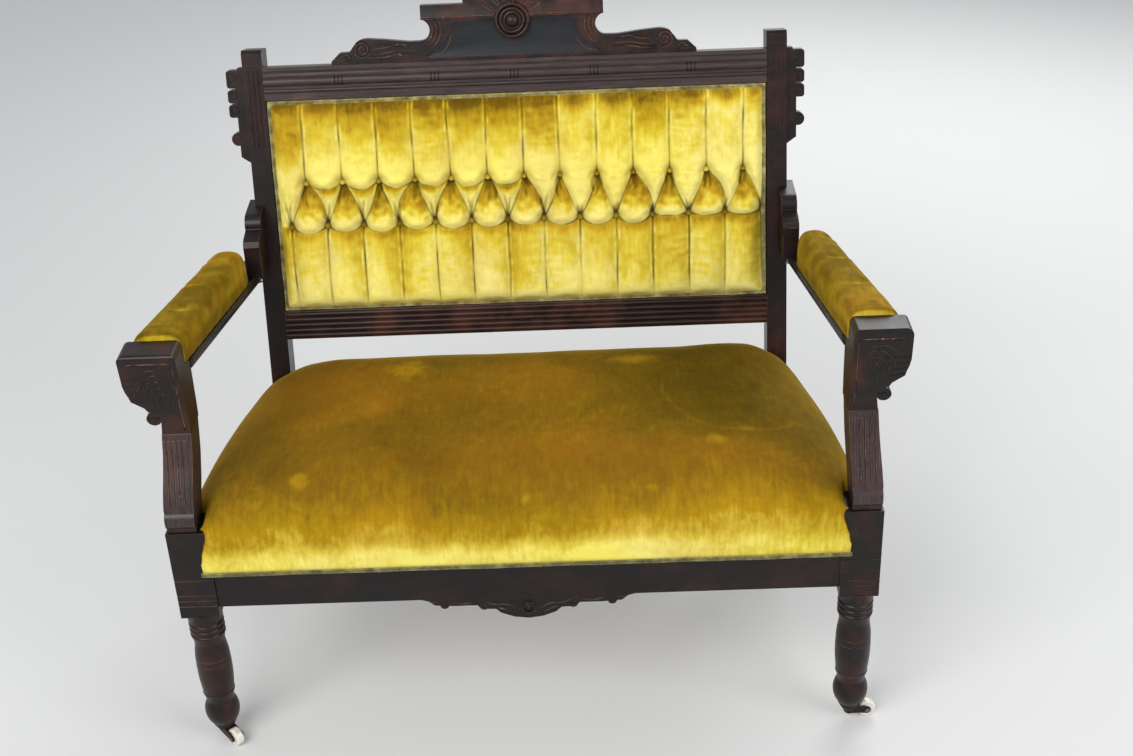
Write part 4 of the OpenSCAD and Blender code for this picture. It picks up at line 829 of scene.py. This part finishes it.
def back_nap(at, up):
    """Painted light on the pile: brown at the head of each channel and puff, bright at its foot, with painted
    shadow under the lips, painted highlights along the folds and darker where the surface faces up.
    """
    soft = at.cloud(0.020, 77)
    stir = at.cloud(0.009, 78)
    head, across = at.channel(0, 0.50, 0.88, 5)
    head = np.where(at.x < TOP_BUTTONS[0][0], 0.30, head)
    share = (at.v - TOP_ROW) / (PANEL_H - TOP_ROW) + 0.10 * soft - 0.16 * across ** 2
    upper = 1.03 - 0.16 * smoothstep(0.0, 0.4, share) - 0.34 * smoothstep(head - 0.30, head + 0.22, share)
    head, across = at.channel(0.5, 0.35, 0.85, 9)
    tilt = at.channel(0.5, -0.16, 0.16, 11)[0]
    share = at.v / LOW_ROW + 0.14 * soft
    lower = 0.94 - 0.05 * smoothstep(0.0, 0.5, share) - 0.20 * smoothstep(head - 0.35, head + 0.30, share)
    lower += tilt * across
    hanging = step_mm(1.5, -1.5, at.inside)
    lip = row_height(LIPS, at.x, PANEL_H)
    shadow = step_mm(-22, -3, at.v - lip + 9 * MM * stir) * (lip < TOP_ROW)
    tongue = 0.96 - 0.36 * shadow + 0.16 * stir
    leaning = at.channel(0.5, -0.35, 0.35, 13)[0] * across
    puff = 0.54 + 0.44 * smoothstep(0.62, 0.05, at.rise + 0.22 * stir + 0.3 * leaning)
    between = hanging * tongue + (1 - hanging) * puff
    above = np.where(lip < TOP_ROW, step_mm(-1.5, 1.5, at.v - lip),
                     step_mm(-24, 10, at.v - TOP_ROW) * np.maximum(hanging, at.v > TOP_ROW))
    below = step_mm(1.5, -1.5, at.v - row_height(SAGGING, at.x, LOW_ROW))
    nap = above * upper + below * lower + (1 - above - below) * between
    # Painted highlights along the edges of the upright and slanting folds
    nap += 0.34 * np.clip(0.4 + at.cloud(0.013, 83), 0, 1) * bell(at.up - 3.4 * MM, 1.6 * MM)
    nap += 0.22 * hanging * (at.rise < 0.95) * bell(at.slant - 3.4 * MM, 1.8 * MM)
    # Painted light by facing: darker where the surface faces up the lean, brighter where it faces down
    return nap - 0.34 * np.clip(up, -0.7, 0.6)


def back_fold_shade(at, valley):
    """Painted shade in the folds: broken, faint at the top and foot of the panel, darkest at the buttons."""
    patchy = np.clip(0.60 + 0.75 * at.cloud(0.018, 31, along=0.6), 0.12, 1)
    ends = 0.25 + 0.75 * smoothstep(PANEL_H - 8 * MM, PANEL_H - 46 * MM, at.v)
    ends *= 0.3 + 0.7 * step_mm(4, 40, at.v)
    fold = 0.95 * patchy * ends * bell(at.fold, 1.3 * MM) + 0.26 * ends * np.exp(-at.fold / (3.4 * MM))
    fold += 0.85 * bell(at.low, 7.5 * MM) + 0.5 * bell(at.top, 7 * MM) + 0.55 * valley
    return np.clip(fold, 0, 1)


def make_back():
    """The tufted back, first as a coarse cloth and then as a fine surface with creases. Gives its front."""
    columns, rows = 272, 120
    at = Tufts(columns, rows)
    height, pins = back_start(at)
    front = lean(at.x, 3 * MM - height, V_PANEL + at.v)
    start = mesh_from("tufted_start", front, grid_faces(columns, rows))
    edges = read_edges(start)
    front = relax(blow_out(start, pins), edges, 1 - 0.6 * pins, 4)
    front = finer(front.reshape(rows, columns, 3))
    rows, columns = front.shape[:2]
    front = front.reshape(-1, 3)
    at = Tufts(columns, rows)
    fine = mesh_from("tufted_fine", front, grid_faces(columns, rows))
    eased = step_mm(7, 3, at.fold) * step_mm(3, 8, at.button)
    front = relax(front, read_edges(fine), eased, 6)
    valley, shoulder = at.creases()
    wrinkle = at.channel(0, -1.2, 1.0, 21)[0].clip(0, 1) * at.cloud(0.007, 57, across=0.3)
    rough = smoothstep(LOW_ROW - 25 * MM, LOW_ROW, at.v) * smoothstep(TOP_ROW + 20 * MM, TOP_ROW, at.v)
    inward = 3.8 * MM * valley - 1.5 * MM * shoulder - 0.45 * MM * wrinkle
    inward -= rough * 1.1 * MM * at.cloud(0.011, 41)
    front = front + np.outer(inward, LEAN_IN)
    write_points(fine, front)
    # Painted light from the surface's facing, a little brighter on the raised wrinkles
    nap = back_nap(at, read_normals(fine) @ LEAN_UP) + 0.10 * wrinkle
    bpy.data.meshes.remove(fine)
    points, faces = closed_slab(front, columns, rows, lean(at.x, PAD_BACK_Y, V_PANEL + at.v))
    mesh = mesh_from("tufted_back", points, faces)
    walls = (0, len(points) - len(front))
    set_fields(mesh, nap=np.pad(nap, walls, constant_values=0.4),
               fold=np.pad(back_fold_shade(at, valley), walls, constant_values=0.6))
    place_pad("velvet_back", mesh, "velvet_back", "back_cushion")
    return front


# Covered buttons

BUTTON_R = 4.8 * MM
BUTTON_RISE = 3.0 * MM
BUTTON_SINK = 1.4 * MM
BUTTON_MARGIN = 18 * MM     # no button lies nearer than this to a side of the panel
PIT_Y = -8 * MM             # about where the pits lie


def button_mesh(seed, rings=9, spokes=32):
    """A small dome covered with velvet, drawn together at the rim."""
    chance = random.Random(seed)
    points = [(0, -BUTTON_RISE, 0)]
    for ring in range(1, rings + 1):
        share = ring / rings
        depth = -BUTTON_RISE * math.cos(share * math.pi / 2) + 1.5 * MM * share ** 6
        for spoke in range(spokes):
            angle = 2 * math.pi * spoke / spokes
            pleat = 1 + 0.035 * share ** 3 * math.cos(8 * angle + chance.uniform(-0.3, 0.3))
            r = BUTTON_R * math.sin(share * math.pi / 2) * pleat
            points.append((r * math.cos(angle), depth, r * math.sin(angle)))
    faces = [(0, 1 + k, 1 + (k + 1) % spokes) for k in range(spokes)]
    faces += [tuple(1 + face[[0, 3, 2, 1]]) for face in tube_faces(rings, spokes)]
    faces.append(tuple(range(len(points) - 1, len(points) - 1 - spokes, -1)))
    return points, faces


def make_buttons(front):
    """Buttons that sit in the pits of the back's front surface, with painted light: the top row paler, the
    low row in painted shade, each darker towards its top.
    """
    chance = random.Random(12)
    points, faces, nap, fold = [], [], [], []
    for i, (bx, bv) in enumerate(TOP_BUTTONS + LOW_BUTTONS):
        if abs(bx) > PAD_HALF - BUTTON_MARGIN:
            continue
        is_top = bv == TOP_ROW
        spot = lean(bx, PIT_Y, V_PANEL + bv)
        pit = front[np.argmin(((front - spot) ** 2).sum(axis=1))]
        depth = (pit - spot) @ LEAN_IN + PIT_Y
        dome, shell = button_mesh(i)
        pale = chance.uniform(0.5, 0.9) if is_top else chance.uniform(0.35, 0.6)
        shade = chance.uniform(0.05, 0.45) if is_top else chance.uniform(0.4, 0.7)
        faces += [tuple(len(points) + k for k in face) for face in shell]
        for px, py, pz in dome:
            points.append(lean(bx + px, depth + BUTTON_SINK + py, V_PANEL + bv + pz))
            nap.append(pale - 0.3 * pz / (6.6 * MM))
            fold.append(shade)
    mesh = mesh_from("covered_buttons", points, faces)
    set_fields(mesh, nap=nap, fold=fold)
    place("tuft_buttons_covered", mesh, "velvet_back", "velvet", "tuft_buttons")


# Arm pads

# Where the dents lie, and the tucks behind the arm head, along Y
PAD_DENTS = {"left": (-0.135, -0.040, 0.053), "right": (-0.125, -0.020, 0.062)}
PAD_TUCKS = (-0.216, -0.204)


def pad_shape(side, sign):
    """A stuffed arm pad with a few shallow dents across its top. Gives its mesh, a painted highlight in front
    of each dent and how free each point is of the tacked edge."""
    mesh = even_mesh("arm_pad_" + side, 3 * MM)
    x, y, z = read_points(mesh).T
    free = step_mm(650, 668, z + 0.12 * y)
    points = eased_points(mesh, free, 3, 16)
    x, y, _ = points.T
    mid = 0.5 * (x.min() + x.max())
    lift = 1.2 * MM * cloud(points, 0.05, 11 + sign) + 0.4 * MM * cloud(points, 0.018, 14 + sign)
    shine = np.zeros(len(points))
    for k, dent_y in enumerate(PAD_DENTS[side]):
        across = (x - mid - 6 * MM * math.sin(k * 2.7 + 1)) / (17 * MM)
        along = y - dent_y - 4 * MM * across ** 2
        lift -= 3.6 * MM * bell(across, 1) * bell(along, 6.5 * MM)
        lift += 1.4 * MM * bell(across, 1) * bell(along + 11 * MM, 6 * MM)
        shine += bell(across * 2.2, 1) * bell(along + 5 * MM, 7.5 * MM)
    for k, tuck_y in enumerate(PAD_TUCKS):
        lift -= 0.9 * MM * bell(y - tuck_y - 0.04 * (x - mid) * (-1) ** k, 3 * MM)
    points[:, 2] += lift * free
    write_points(mesh, points)
    return mesh, shine * free, free


def make_arm_pads():
    for side, sign in SIDES.items():
        mesh, shine, free = pad_shape(side, sign)
        points, normals = read_points(mesh), read_normals(mesh)
        y = points[:, 1]
        # Painted light: brighter where the pad turns down, painted highlights at the dents and front edge;
        # painted shade at the tacked edge
        low = smoothstep(0.75, 0.1, normals[:, 2])
        nap = 0.36 - 0.02 * sign + 0.12 * low + 0.55 * shine + 0.16 * cloud(points, 0.02, 17 + sign)
        nap += 0.30 * smoothstep(-0.2235, -0.2255, y) - 0.10 * smoothstep(-0.212, -0.224, y)
        set_fields(mesh, nap=nap, fold=0.5 * (1 - free))
        place_pad("velvet_arm_" + side, mesh, "velvet_arms", "arm_pad_" + side)


# Velvet stretched over the rear of the back

COVER_HALF = 401.4 * MM
COVER_LOW = V_PANEL + 6.6 * MM
COVER_HIGH = V_PANEL + PANEL_H - 6.6 * MM
COVER_Y = 24.8 * MM
TACKS = 34 * MM         # from one tack to the next


def make_outer_cover():
    """The flat cover behind the back, drawn tight between its tacks."""
    columns, rows = 135, 58
    x, v = flat_grid(COVER_HALF, COVER_LOW, COVER_HIGH, columns, rows)
    edge = np.minimum(COVER_HALF - np.abs(x), np.minimum(v - COVER_LOW, COVER_HIGH - v))
    dent = 0.5 * MM * np.cos(2 * np.pi * (x + v) / TACKS) * np.exp(-edge / (14 * MM))
    flat = lean(x, COVER_Y + dent * step_mm(0, 5, edge), v)
    mesh = mesh_from("outer_cover", flat, grid_faces(columns, rows)[:, ::-1])
    # Broad lighter and darker bands across its height; fold gives painted shade along the cover's edges
    set_fields(mesh, nap=0.36 + 0.1 * np.sin(v / 0.09), fold=0.35 * np.exp(-edge / (5 * MM)))
    piece = place("velvet_outer", mesh, "velvet_back", "velvet", "back_outer_cover")
    thick = piece.modifiers.new("thick", "SOLIDIFY")
    thick.thickness = 1.2 * MM
    thick.offset = -1


# Braided trim

ARM_X = 496 * MM        # the middle of an arm pad
PAD_MIDDLE_Y = -60 * MM


def islands(name):
    """The separate lumps of a node, each as an array of its points."""
    made = welded(name)
    left = set(made.verts)
    lumps = []
    while left:
        queue = [left.pop()]
        lump = []
        while queue:
            vertex = queue.pop()
            lump.append(tuple(vertex.co))
            for edge in vertex.link_edges:
                other = edge.other_vert(vertex)
                if other in left:
                    left.remove(other)
                    queue.append(other)
        lumps.append(np.array(lump))
    made.free()
    return lumps


def middle_line(lump):
    """The line through the middle of a long strip, one point for each of its cross sections."""
    axis = int(np.argmax(lump.max(axis=0) - lump.min(axis=0)))
    lump = lump[np.argsort(lump[:, axis])]
    breaks = np.flatnonzero(np.diff(lump[:, axis]) > 4 * MM) + 1
    return np.array([section.mean(axis=0) for section in np.split(lump, breaks)])


def even_steps(path, step, closed):
    """Points at even steps along a path, and how far along it each lies."""
    if closed:
        path = np.concatenate([path, path[:1]])
    length = np.concatenate([[0], np.cumsum(np.linalg.norm(np.diff(path, axis=0), axis=1))])
    count = max(int(length[-1] / step), 4)
    places = np.linspace(0, length[-1], count + 1)
    if closed:
        places = places[:-1]
    return np.stack([np.interp(places, length, column) for column in path.T], axis=-1), places


def braid_on(path, outward, width, closed=False):
    """Points and faces of four plaited cords along a path, over a narrow tape."""
    step, pitch, thread = 1.1 * MM, 8.5 * MM, 1.0 * MM
    line, along = even_steps(path, step, closed)
    wander = 0.35 * MM * np.sin(along / 0.031) + 0.25 * MM * np.sin(along / 0.0131)
    ahead = np.roll(line, -1, axis=0) - np.roll(line, 1, axis=0) if closed else np.gradient(line, axis=0)
    ahead = unit(ahead)
    across = unit(np.cross(ahead, outward(line)))
    out = np.cross(across, ahead)
    turns = max(round(along[-1] / pitch), 1)
    length = along[-1] + (step if closed else 0)
    tape = [(-0.46, 0), (0.46, 0), (0.44, 0.6), (-0.44, 0.6)]
    parts = [swept(line, width * across, thread * out, tape, closed)]
    for cord in range(4):
        phase = 2 * np.pi * (along / length * turns + cord / 4)
        sway = (0.5 * width - thread) * np.sin(phase) + wander
        lift = 0.55 * thread * np.cos(2 * phase + cord * np.pi) + thread * 1.1
        centre = line + across * sway[:, None] + out * lift[:, None]
        parts.append(swept(centre, across, out, oval(thread, thread, 5), closed))
    return joined(parts)


def make_braid(name, runs, material, replaced):
    place(name, mesh_from(name, *joined(runs)), material, "braid", replaced)


def away_from(centre):
    """Outward directions, level, away from a point."""
    def outward(line):
        side = unit(np.cross(np.gradient(line, axis=0), (0, 0, 1)))
        return side * np.sign(((line - centre) * side).sum(axis=1))[:, None]
    return outward


def rounded_loop(half, low, high, radius):
    """A rectangle with rounded corners, in the plane of the panel."""
    loop = []
    for x, v, start in ((half, low, -90), (half, high, 0), (-half, high, 90), (-half, low, 180)):
        cx, cv = x - math.copysign(radius, x), v + (radius if v == low else -radius)
        for k in range(5):
            angle = math.radians(start + 22.5 * k)
            loop.append((cx + radius * math.cos(angle), cv + radius * math.sin(angle)))
    return loop


def make_trim():
    for name, node, middle_x, width, material in (
            ("braid_seat", "seat_gimp", 0, 7.5 * MM, "braid_seat"),
            ("braid_arm_left", "arm_gimp_left", -ARM_X, 6.5 * MM, "braid_shaded"),
            ("braid_arm_right", "arm_gimp_right", ARM_X, 6.5 * MM, "braid_shaded")):
        outward = away_from(np.array([middle_x, PAD_MIDDLE_Y, 0]))
        runs = [braid_on(middle_line(lump), outward, width) for lump in islands(node)]
        make_braid(name, runs, material, node)
    loop = rounded_loop(PAD_HALF - 4.5 * MM, V_PANEL + 5.5 * MM, V_PANEL + PANEL_H - 5.5 * MM, 4 * MM)
    path = np.array([lean(x, -0.6 * MM, v) for x, v in loop])
    run = braid_on(path, lambda line: np.tile(-LEAN_IN, (len(line), 1)), 8 * MM, closed=True)
    make_braid("braid_back", [run], "braid", "back_gimp")


# Carving: rounded ridges laid onto the wood. Plans of them are in mm, across and up

CAST_Y = -0.5           # rays start here, in front of the whole piece
CAST_LEAN_Y = -0.1      # and here in the frame of the back
RAIL_LENGTH = 816 * MM
RAIL_MARKS = (-0.35, -0.158, 0, 0.158, 0.35)    # places along the rail, as shares of its length
RAIL_ROUND_V = -24                              # the rail's half round, below the crest
ARC_MIDDLE = (150.5, 49.5)
ARC_RADII = (21.5, 28, 34.5)
SCROLL = {"cx": 244.5, "cz": 22, "r0": 15, "r1": 2.5, "turns": 1.9, "start": 200}
CREST_LINES = [
    ([(236, 8), (212, 8), (190, 12), (168, 10)], 3.6), ([(230, 13), (208, 15), (186, 19), (160, 17)], 3.0),
    ([(226, 22), (205, 24), (188, 28), (172, 27)], 2.6), ([(262, 8), (272, 14), (282, 8)], 2.8),
    ([(270, 6), (278, 5), (286, 6)], 2.2), ([(132, 8), (116, 12), (104, 26), (100, 44)], 2.6)]
HEAD_LINES = [
    ([(500, 672), (514, 676), (530, 672), (545, 660), (550, 648)], 4.6),
    ([(502, 664), (514, 667), (527, 661), (537, 649), (540, 638)], 5.0),
    ([(503, 655), (513, 656), (523, 649), (530, 638), (531, 628)], 5.0),
    ([(503, 645), (511, 645), (518, 638), (523, 628), (523, 618)], 4.4),
    ([(502, 634), (508, 633), (513, 626), (515, 616), (514, 606)], 3.8),
    ([(499, 678), (496, 660), (496, 640), (500, 618), (506, 598)], 3.0)]
HEAD_BORDER = [([(550, 687.3), (520, 687.3), (489, 687.3)], 2.0), ([(486, 684), (486, 640), (486, 572)], 2.0)]
APRON_LINES = [
    ([(18, 254), (34, 262), (52, 263), (66, 268)], 3.4), ([(22, 246), (34, 252), (46, 256)], 2.8),
    ([(82, 268), (98, 266), (116, 269)], 3.0), ([(136, 270), (146, 270), (158, 273)], 2.6)]


def surface_of(*names):
    """The surface of some nodes, to cast rays at."""
    points, faces = [], []
    for name in names:
        base = len(points)
        points += [v.co.copy() for v in nodes[name].data.vertices]
        faces += [tuple(base + i for i in f.vertices) for f in nodes[name].data.polygons]
    return BVHTree.FromPolygons(points, faces)


def ridge(tree, starts, direction, width, rise, blunt=False):
    """A ridge along the places where rays from the starts meet the surface. It thins out to its ends."""
    hits = [tree.ray_cast(Vector(start), Vector(direction))[0] for start in starts]
    line = np.array([hit for hit in hits if hit is not None])
    out = np.tile(-np.asarray(direction, float), (len(line), 1))
    across = unit(np.cross(unit(np.gradient(line, axis=0)), out))
    share = np.linspace(0, 1, len(line))
    taper = np.clip(np.minimum(share, 1 - share) * (14 if blunt else 4), 0.04, 1)[:, None] ** 0.6
    return swept(line, across * taper, out * taper, oval(0.5 * width, rise * width, 8, 0.25))


def spiral(cx, cz, r0, r1, turns, start, count=48):
    """Points of a spiral in a plane."""
    made = []
    for i in range(count + 1):
        share = i / count
        r = r0 + (r1 - r0) * share
        angle = math.radians(start) + 2 * math.pi * turns * share
        made.append((cx + r * math.cos(angle), cz + r * math.sin(angle)))
    return made


def curve_through(points, count=24):
    """A smooth curve through a few points of a plane."""
    points = np.array(points, float)
    padded = extended(points)
    made = []
    for i in range(len(points) - 1):
        p0, p1, p2, p3 = padded[i:i + 4]
        for k in range(count // (len(points) - 1)):
            t = k * (len(points) - 1) / count
            made.append(0.5 * (2 * p1 + (p2 - p0) * t + (2 * p0 - 5 * p1 + 4 * p2 - p3) * t * t
                               + (3 * p1 - p0 - 3 * p2 + p3) * t ** 3))
    made.append(points[-1])
    return made


def face_ridges(tree, plans, sign, rise, blunt=False):
    """Ridges on a face that looks forward, at one side of the middle."""
    ridges = []
    for points, width in plans:
        starts = [(sign * x * MM, CAST_Y, z * MM) for x, z in curve_through(points)]
        ridges.append(ridge(tree, starts, (0, 1, 0), width * MM, rise, blunt))
    return ridges


def carve(name, ridges, material, worn):
    mesh = mesh_from(name, *joined(ridges))
    set_fields(mesh, "CORNER", edge=np.full(len(mesh.loops), worn))
    place(name, mesh, material, "show_wood")


def carve_crest():
    """Scrolls, a long leaf and arcs on the wings of the crest."""
    tree = surface_of("crest_board", "crest_block")
    plans = [(curve_through(points), width) for points, width in CREST_LINES]
    plans.append((spiral(**SCROLL), 3.2))
    ax, av = ARC_MIDDLE
    for radius in ARC_RADII:
        angles = [math.radians(a) for a in range(-60, 32, 4)]
        plans.append(([(ax - radius * math.cos(a), av + radius * math.sin(a)) for a in angles], 2.8))
    ridges = []
    for sign in SIDES.values():
        for plan, width in plans:
            starts = [lean(sign * x * MM, CAST_LEAN_Y, V_CREST + v * MM) for x, v in plan]
            ridges.append(ridge(tree, starts, LEAN_IN, width * MM, 0.5))
    carve("carving_crest", ridges, "wood_crest", 0.4)


def carve_rail_marks():
    """Groups of three short upright cuts in the half round of the top rail, lined with near-black ridges:
    painted shade in the cuts.
    """
    tree = surface_of("top_rail")
    beside = 1.4 * MM       # the rays meet the rail beside its own cut
    lines = []
    for share in RAIL_MARKS:
        for k in (-1, 0, 1):
            x = share * RAIL_LENGTH + 6 * k * MM
            starts = [lean(x + beside, CAST_LEAN_Y, V_CREST + (v + RAIL_ROUND_V) * MM) for v in range(-8, 9)]
            points, faces = ridge(tree, starts, LEAN_IN, 2.2 * MM, 0.25, blunt=True)
            lines.append((points - (beside, 0, 0), faces))
    carve("carving_rail_marks", lines, "wood_cut", 0.0)


def carve_heads():
    """A leaf and a sunk border line on the front of each arm head."""
    for side, sign in SIDES.items():
        tree = surface_of("arm_head_" + side)
        carve("carving_head_" + side, face_ridges(tree, HEAD_LINES, sign, 0.42), "wood_red", 0.05)
        carve("carving_line_" + side, face_ridges(tree, HEAD_BORDER, sign, 0.3, blunt=True), "wood_red", 1.0)


def carve_apron():
    """Leaves and beads on the drop under the front rail."""
    tree = surface_of("apron_drop")
    ridges = [made for sign in SIDES.values() for made in face_ridges(tree, APRON_LINES, sign, 0.45)]
    carve("carving_apron", ridges, "wood_x", 0.3)


# Stage, light and camera

CAMERA_AT = (0.112, -2.26743, 1.783)
CAMERA_DOWN = math.radians(29.76)
CAMERA_ROLL = math.radians(-2.56)
CAMERA_YAW = math.radians(-1.13)
CAMERA_LENS = 51.41
FLOOR_REACH = 30.0
AIM = (0, 0, 0.5)       # where the lamps point


def make_camera():
    data = bpy.data.cameras.new("camera")
    data.lens = CAMERA_LENS
    data.sensor_width = 36
    camera = link("camera", data)
    turned = Matrix.Translation(CAMERA_AT)
    for angle, axis in ((-CAMERA_YAW, "Z"), (math.pi / 2 - CAMERA_DOWN, "X"), (CAMERA_ROLL, "Z")):
        turned = turned @ Matrix.Rotation(angle, 4, axis)
    camera.matrix_world = turned
    scene.camera = camera


def make_stage():
    r = FLOOR_REACH
    mesh = mesh_from("floor", [(-r, -r, 0), (r, -r, 0), (r, r, 0), (-r, r, 0)], [(0, 1, 2, 3)])
    mesh.materials.append(Look("floor_pale").finish({"Base Color": "#d4d4d2", "Roughness": 0.75}))
    link("floor", mesh)


def area_light(name, at, size, power):
    data = bpy.data.lights.new(name, "AREA")
    data.shape = "RECTANGLE"
    data.size, data.size_y = size
    data.energy = power
    light = link(name, data)
    light.location = at
    light.rotation_mode = "QUATERNION"
    light.rotation_quaternion = (Vector(AIM) - Vector(at)).to_track_quat("-Z", "Y")


def make_light():
    world = bpy.data.worlds.new("world")
    scene.world = world
    world.use_nodes = True
    tree = world.node_tree
    tree.nodes.clear()
    back = tree.nodes.new("ShaderNodeBackground")
    back.inputs["Color"].default_value = (0.93, 0.95, 1.0, 1)
    back.inputs["Strength"].default_value = 0.62
    tree.links.new(back.outputs[0], tree.nodes.new("ShaderNodeOutputWorld").inputs["Surface"])
    area_light("key", (-1.6, -2.6, 2.9), (2.4, 1.8), 95)
    area_light("fill", (2.6, -2.0, 2.0), (2.0, 2.0), 40)
    area_light("rear", (1.4, 2.8, 2.2), (2.4, 1.6), 55)


make_camera()
make_stage()
make_light()
dress_show_wood()
carry_over()
make_seat()
make_buttons(make_back())
make_arm_pads()
make_outer_cover()
make_trim()
carve_crest()
carve_rail_marks()
carve_heads()
carve_apron()

scene.view_settings.view_transform = "Standard"
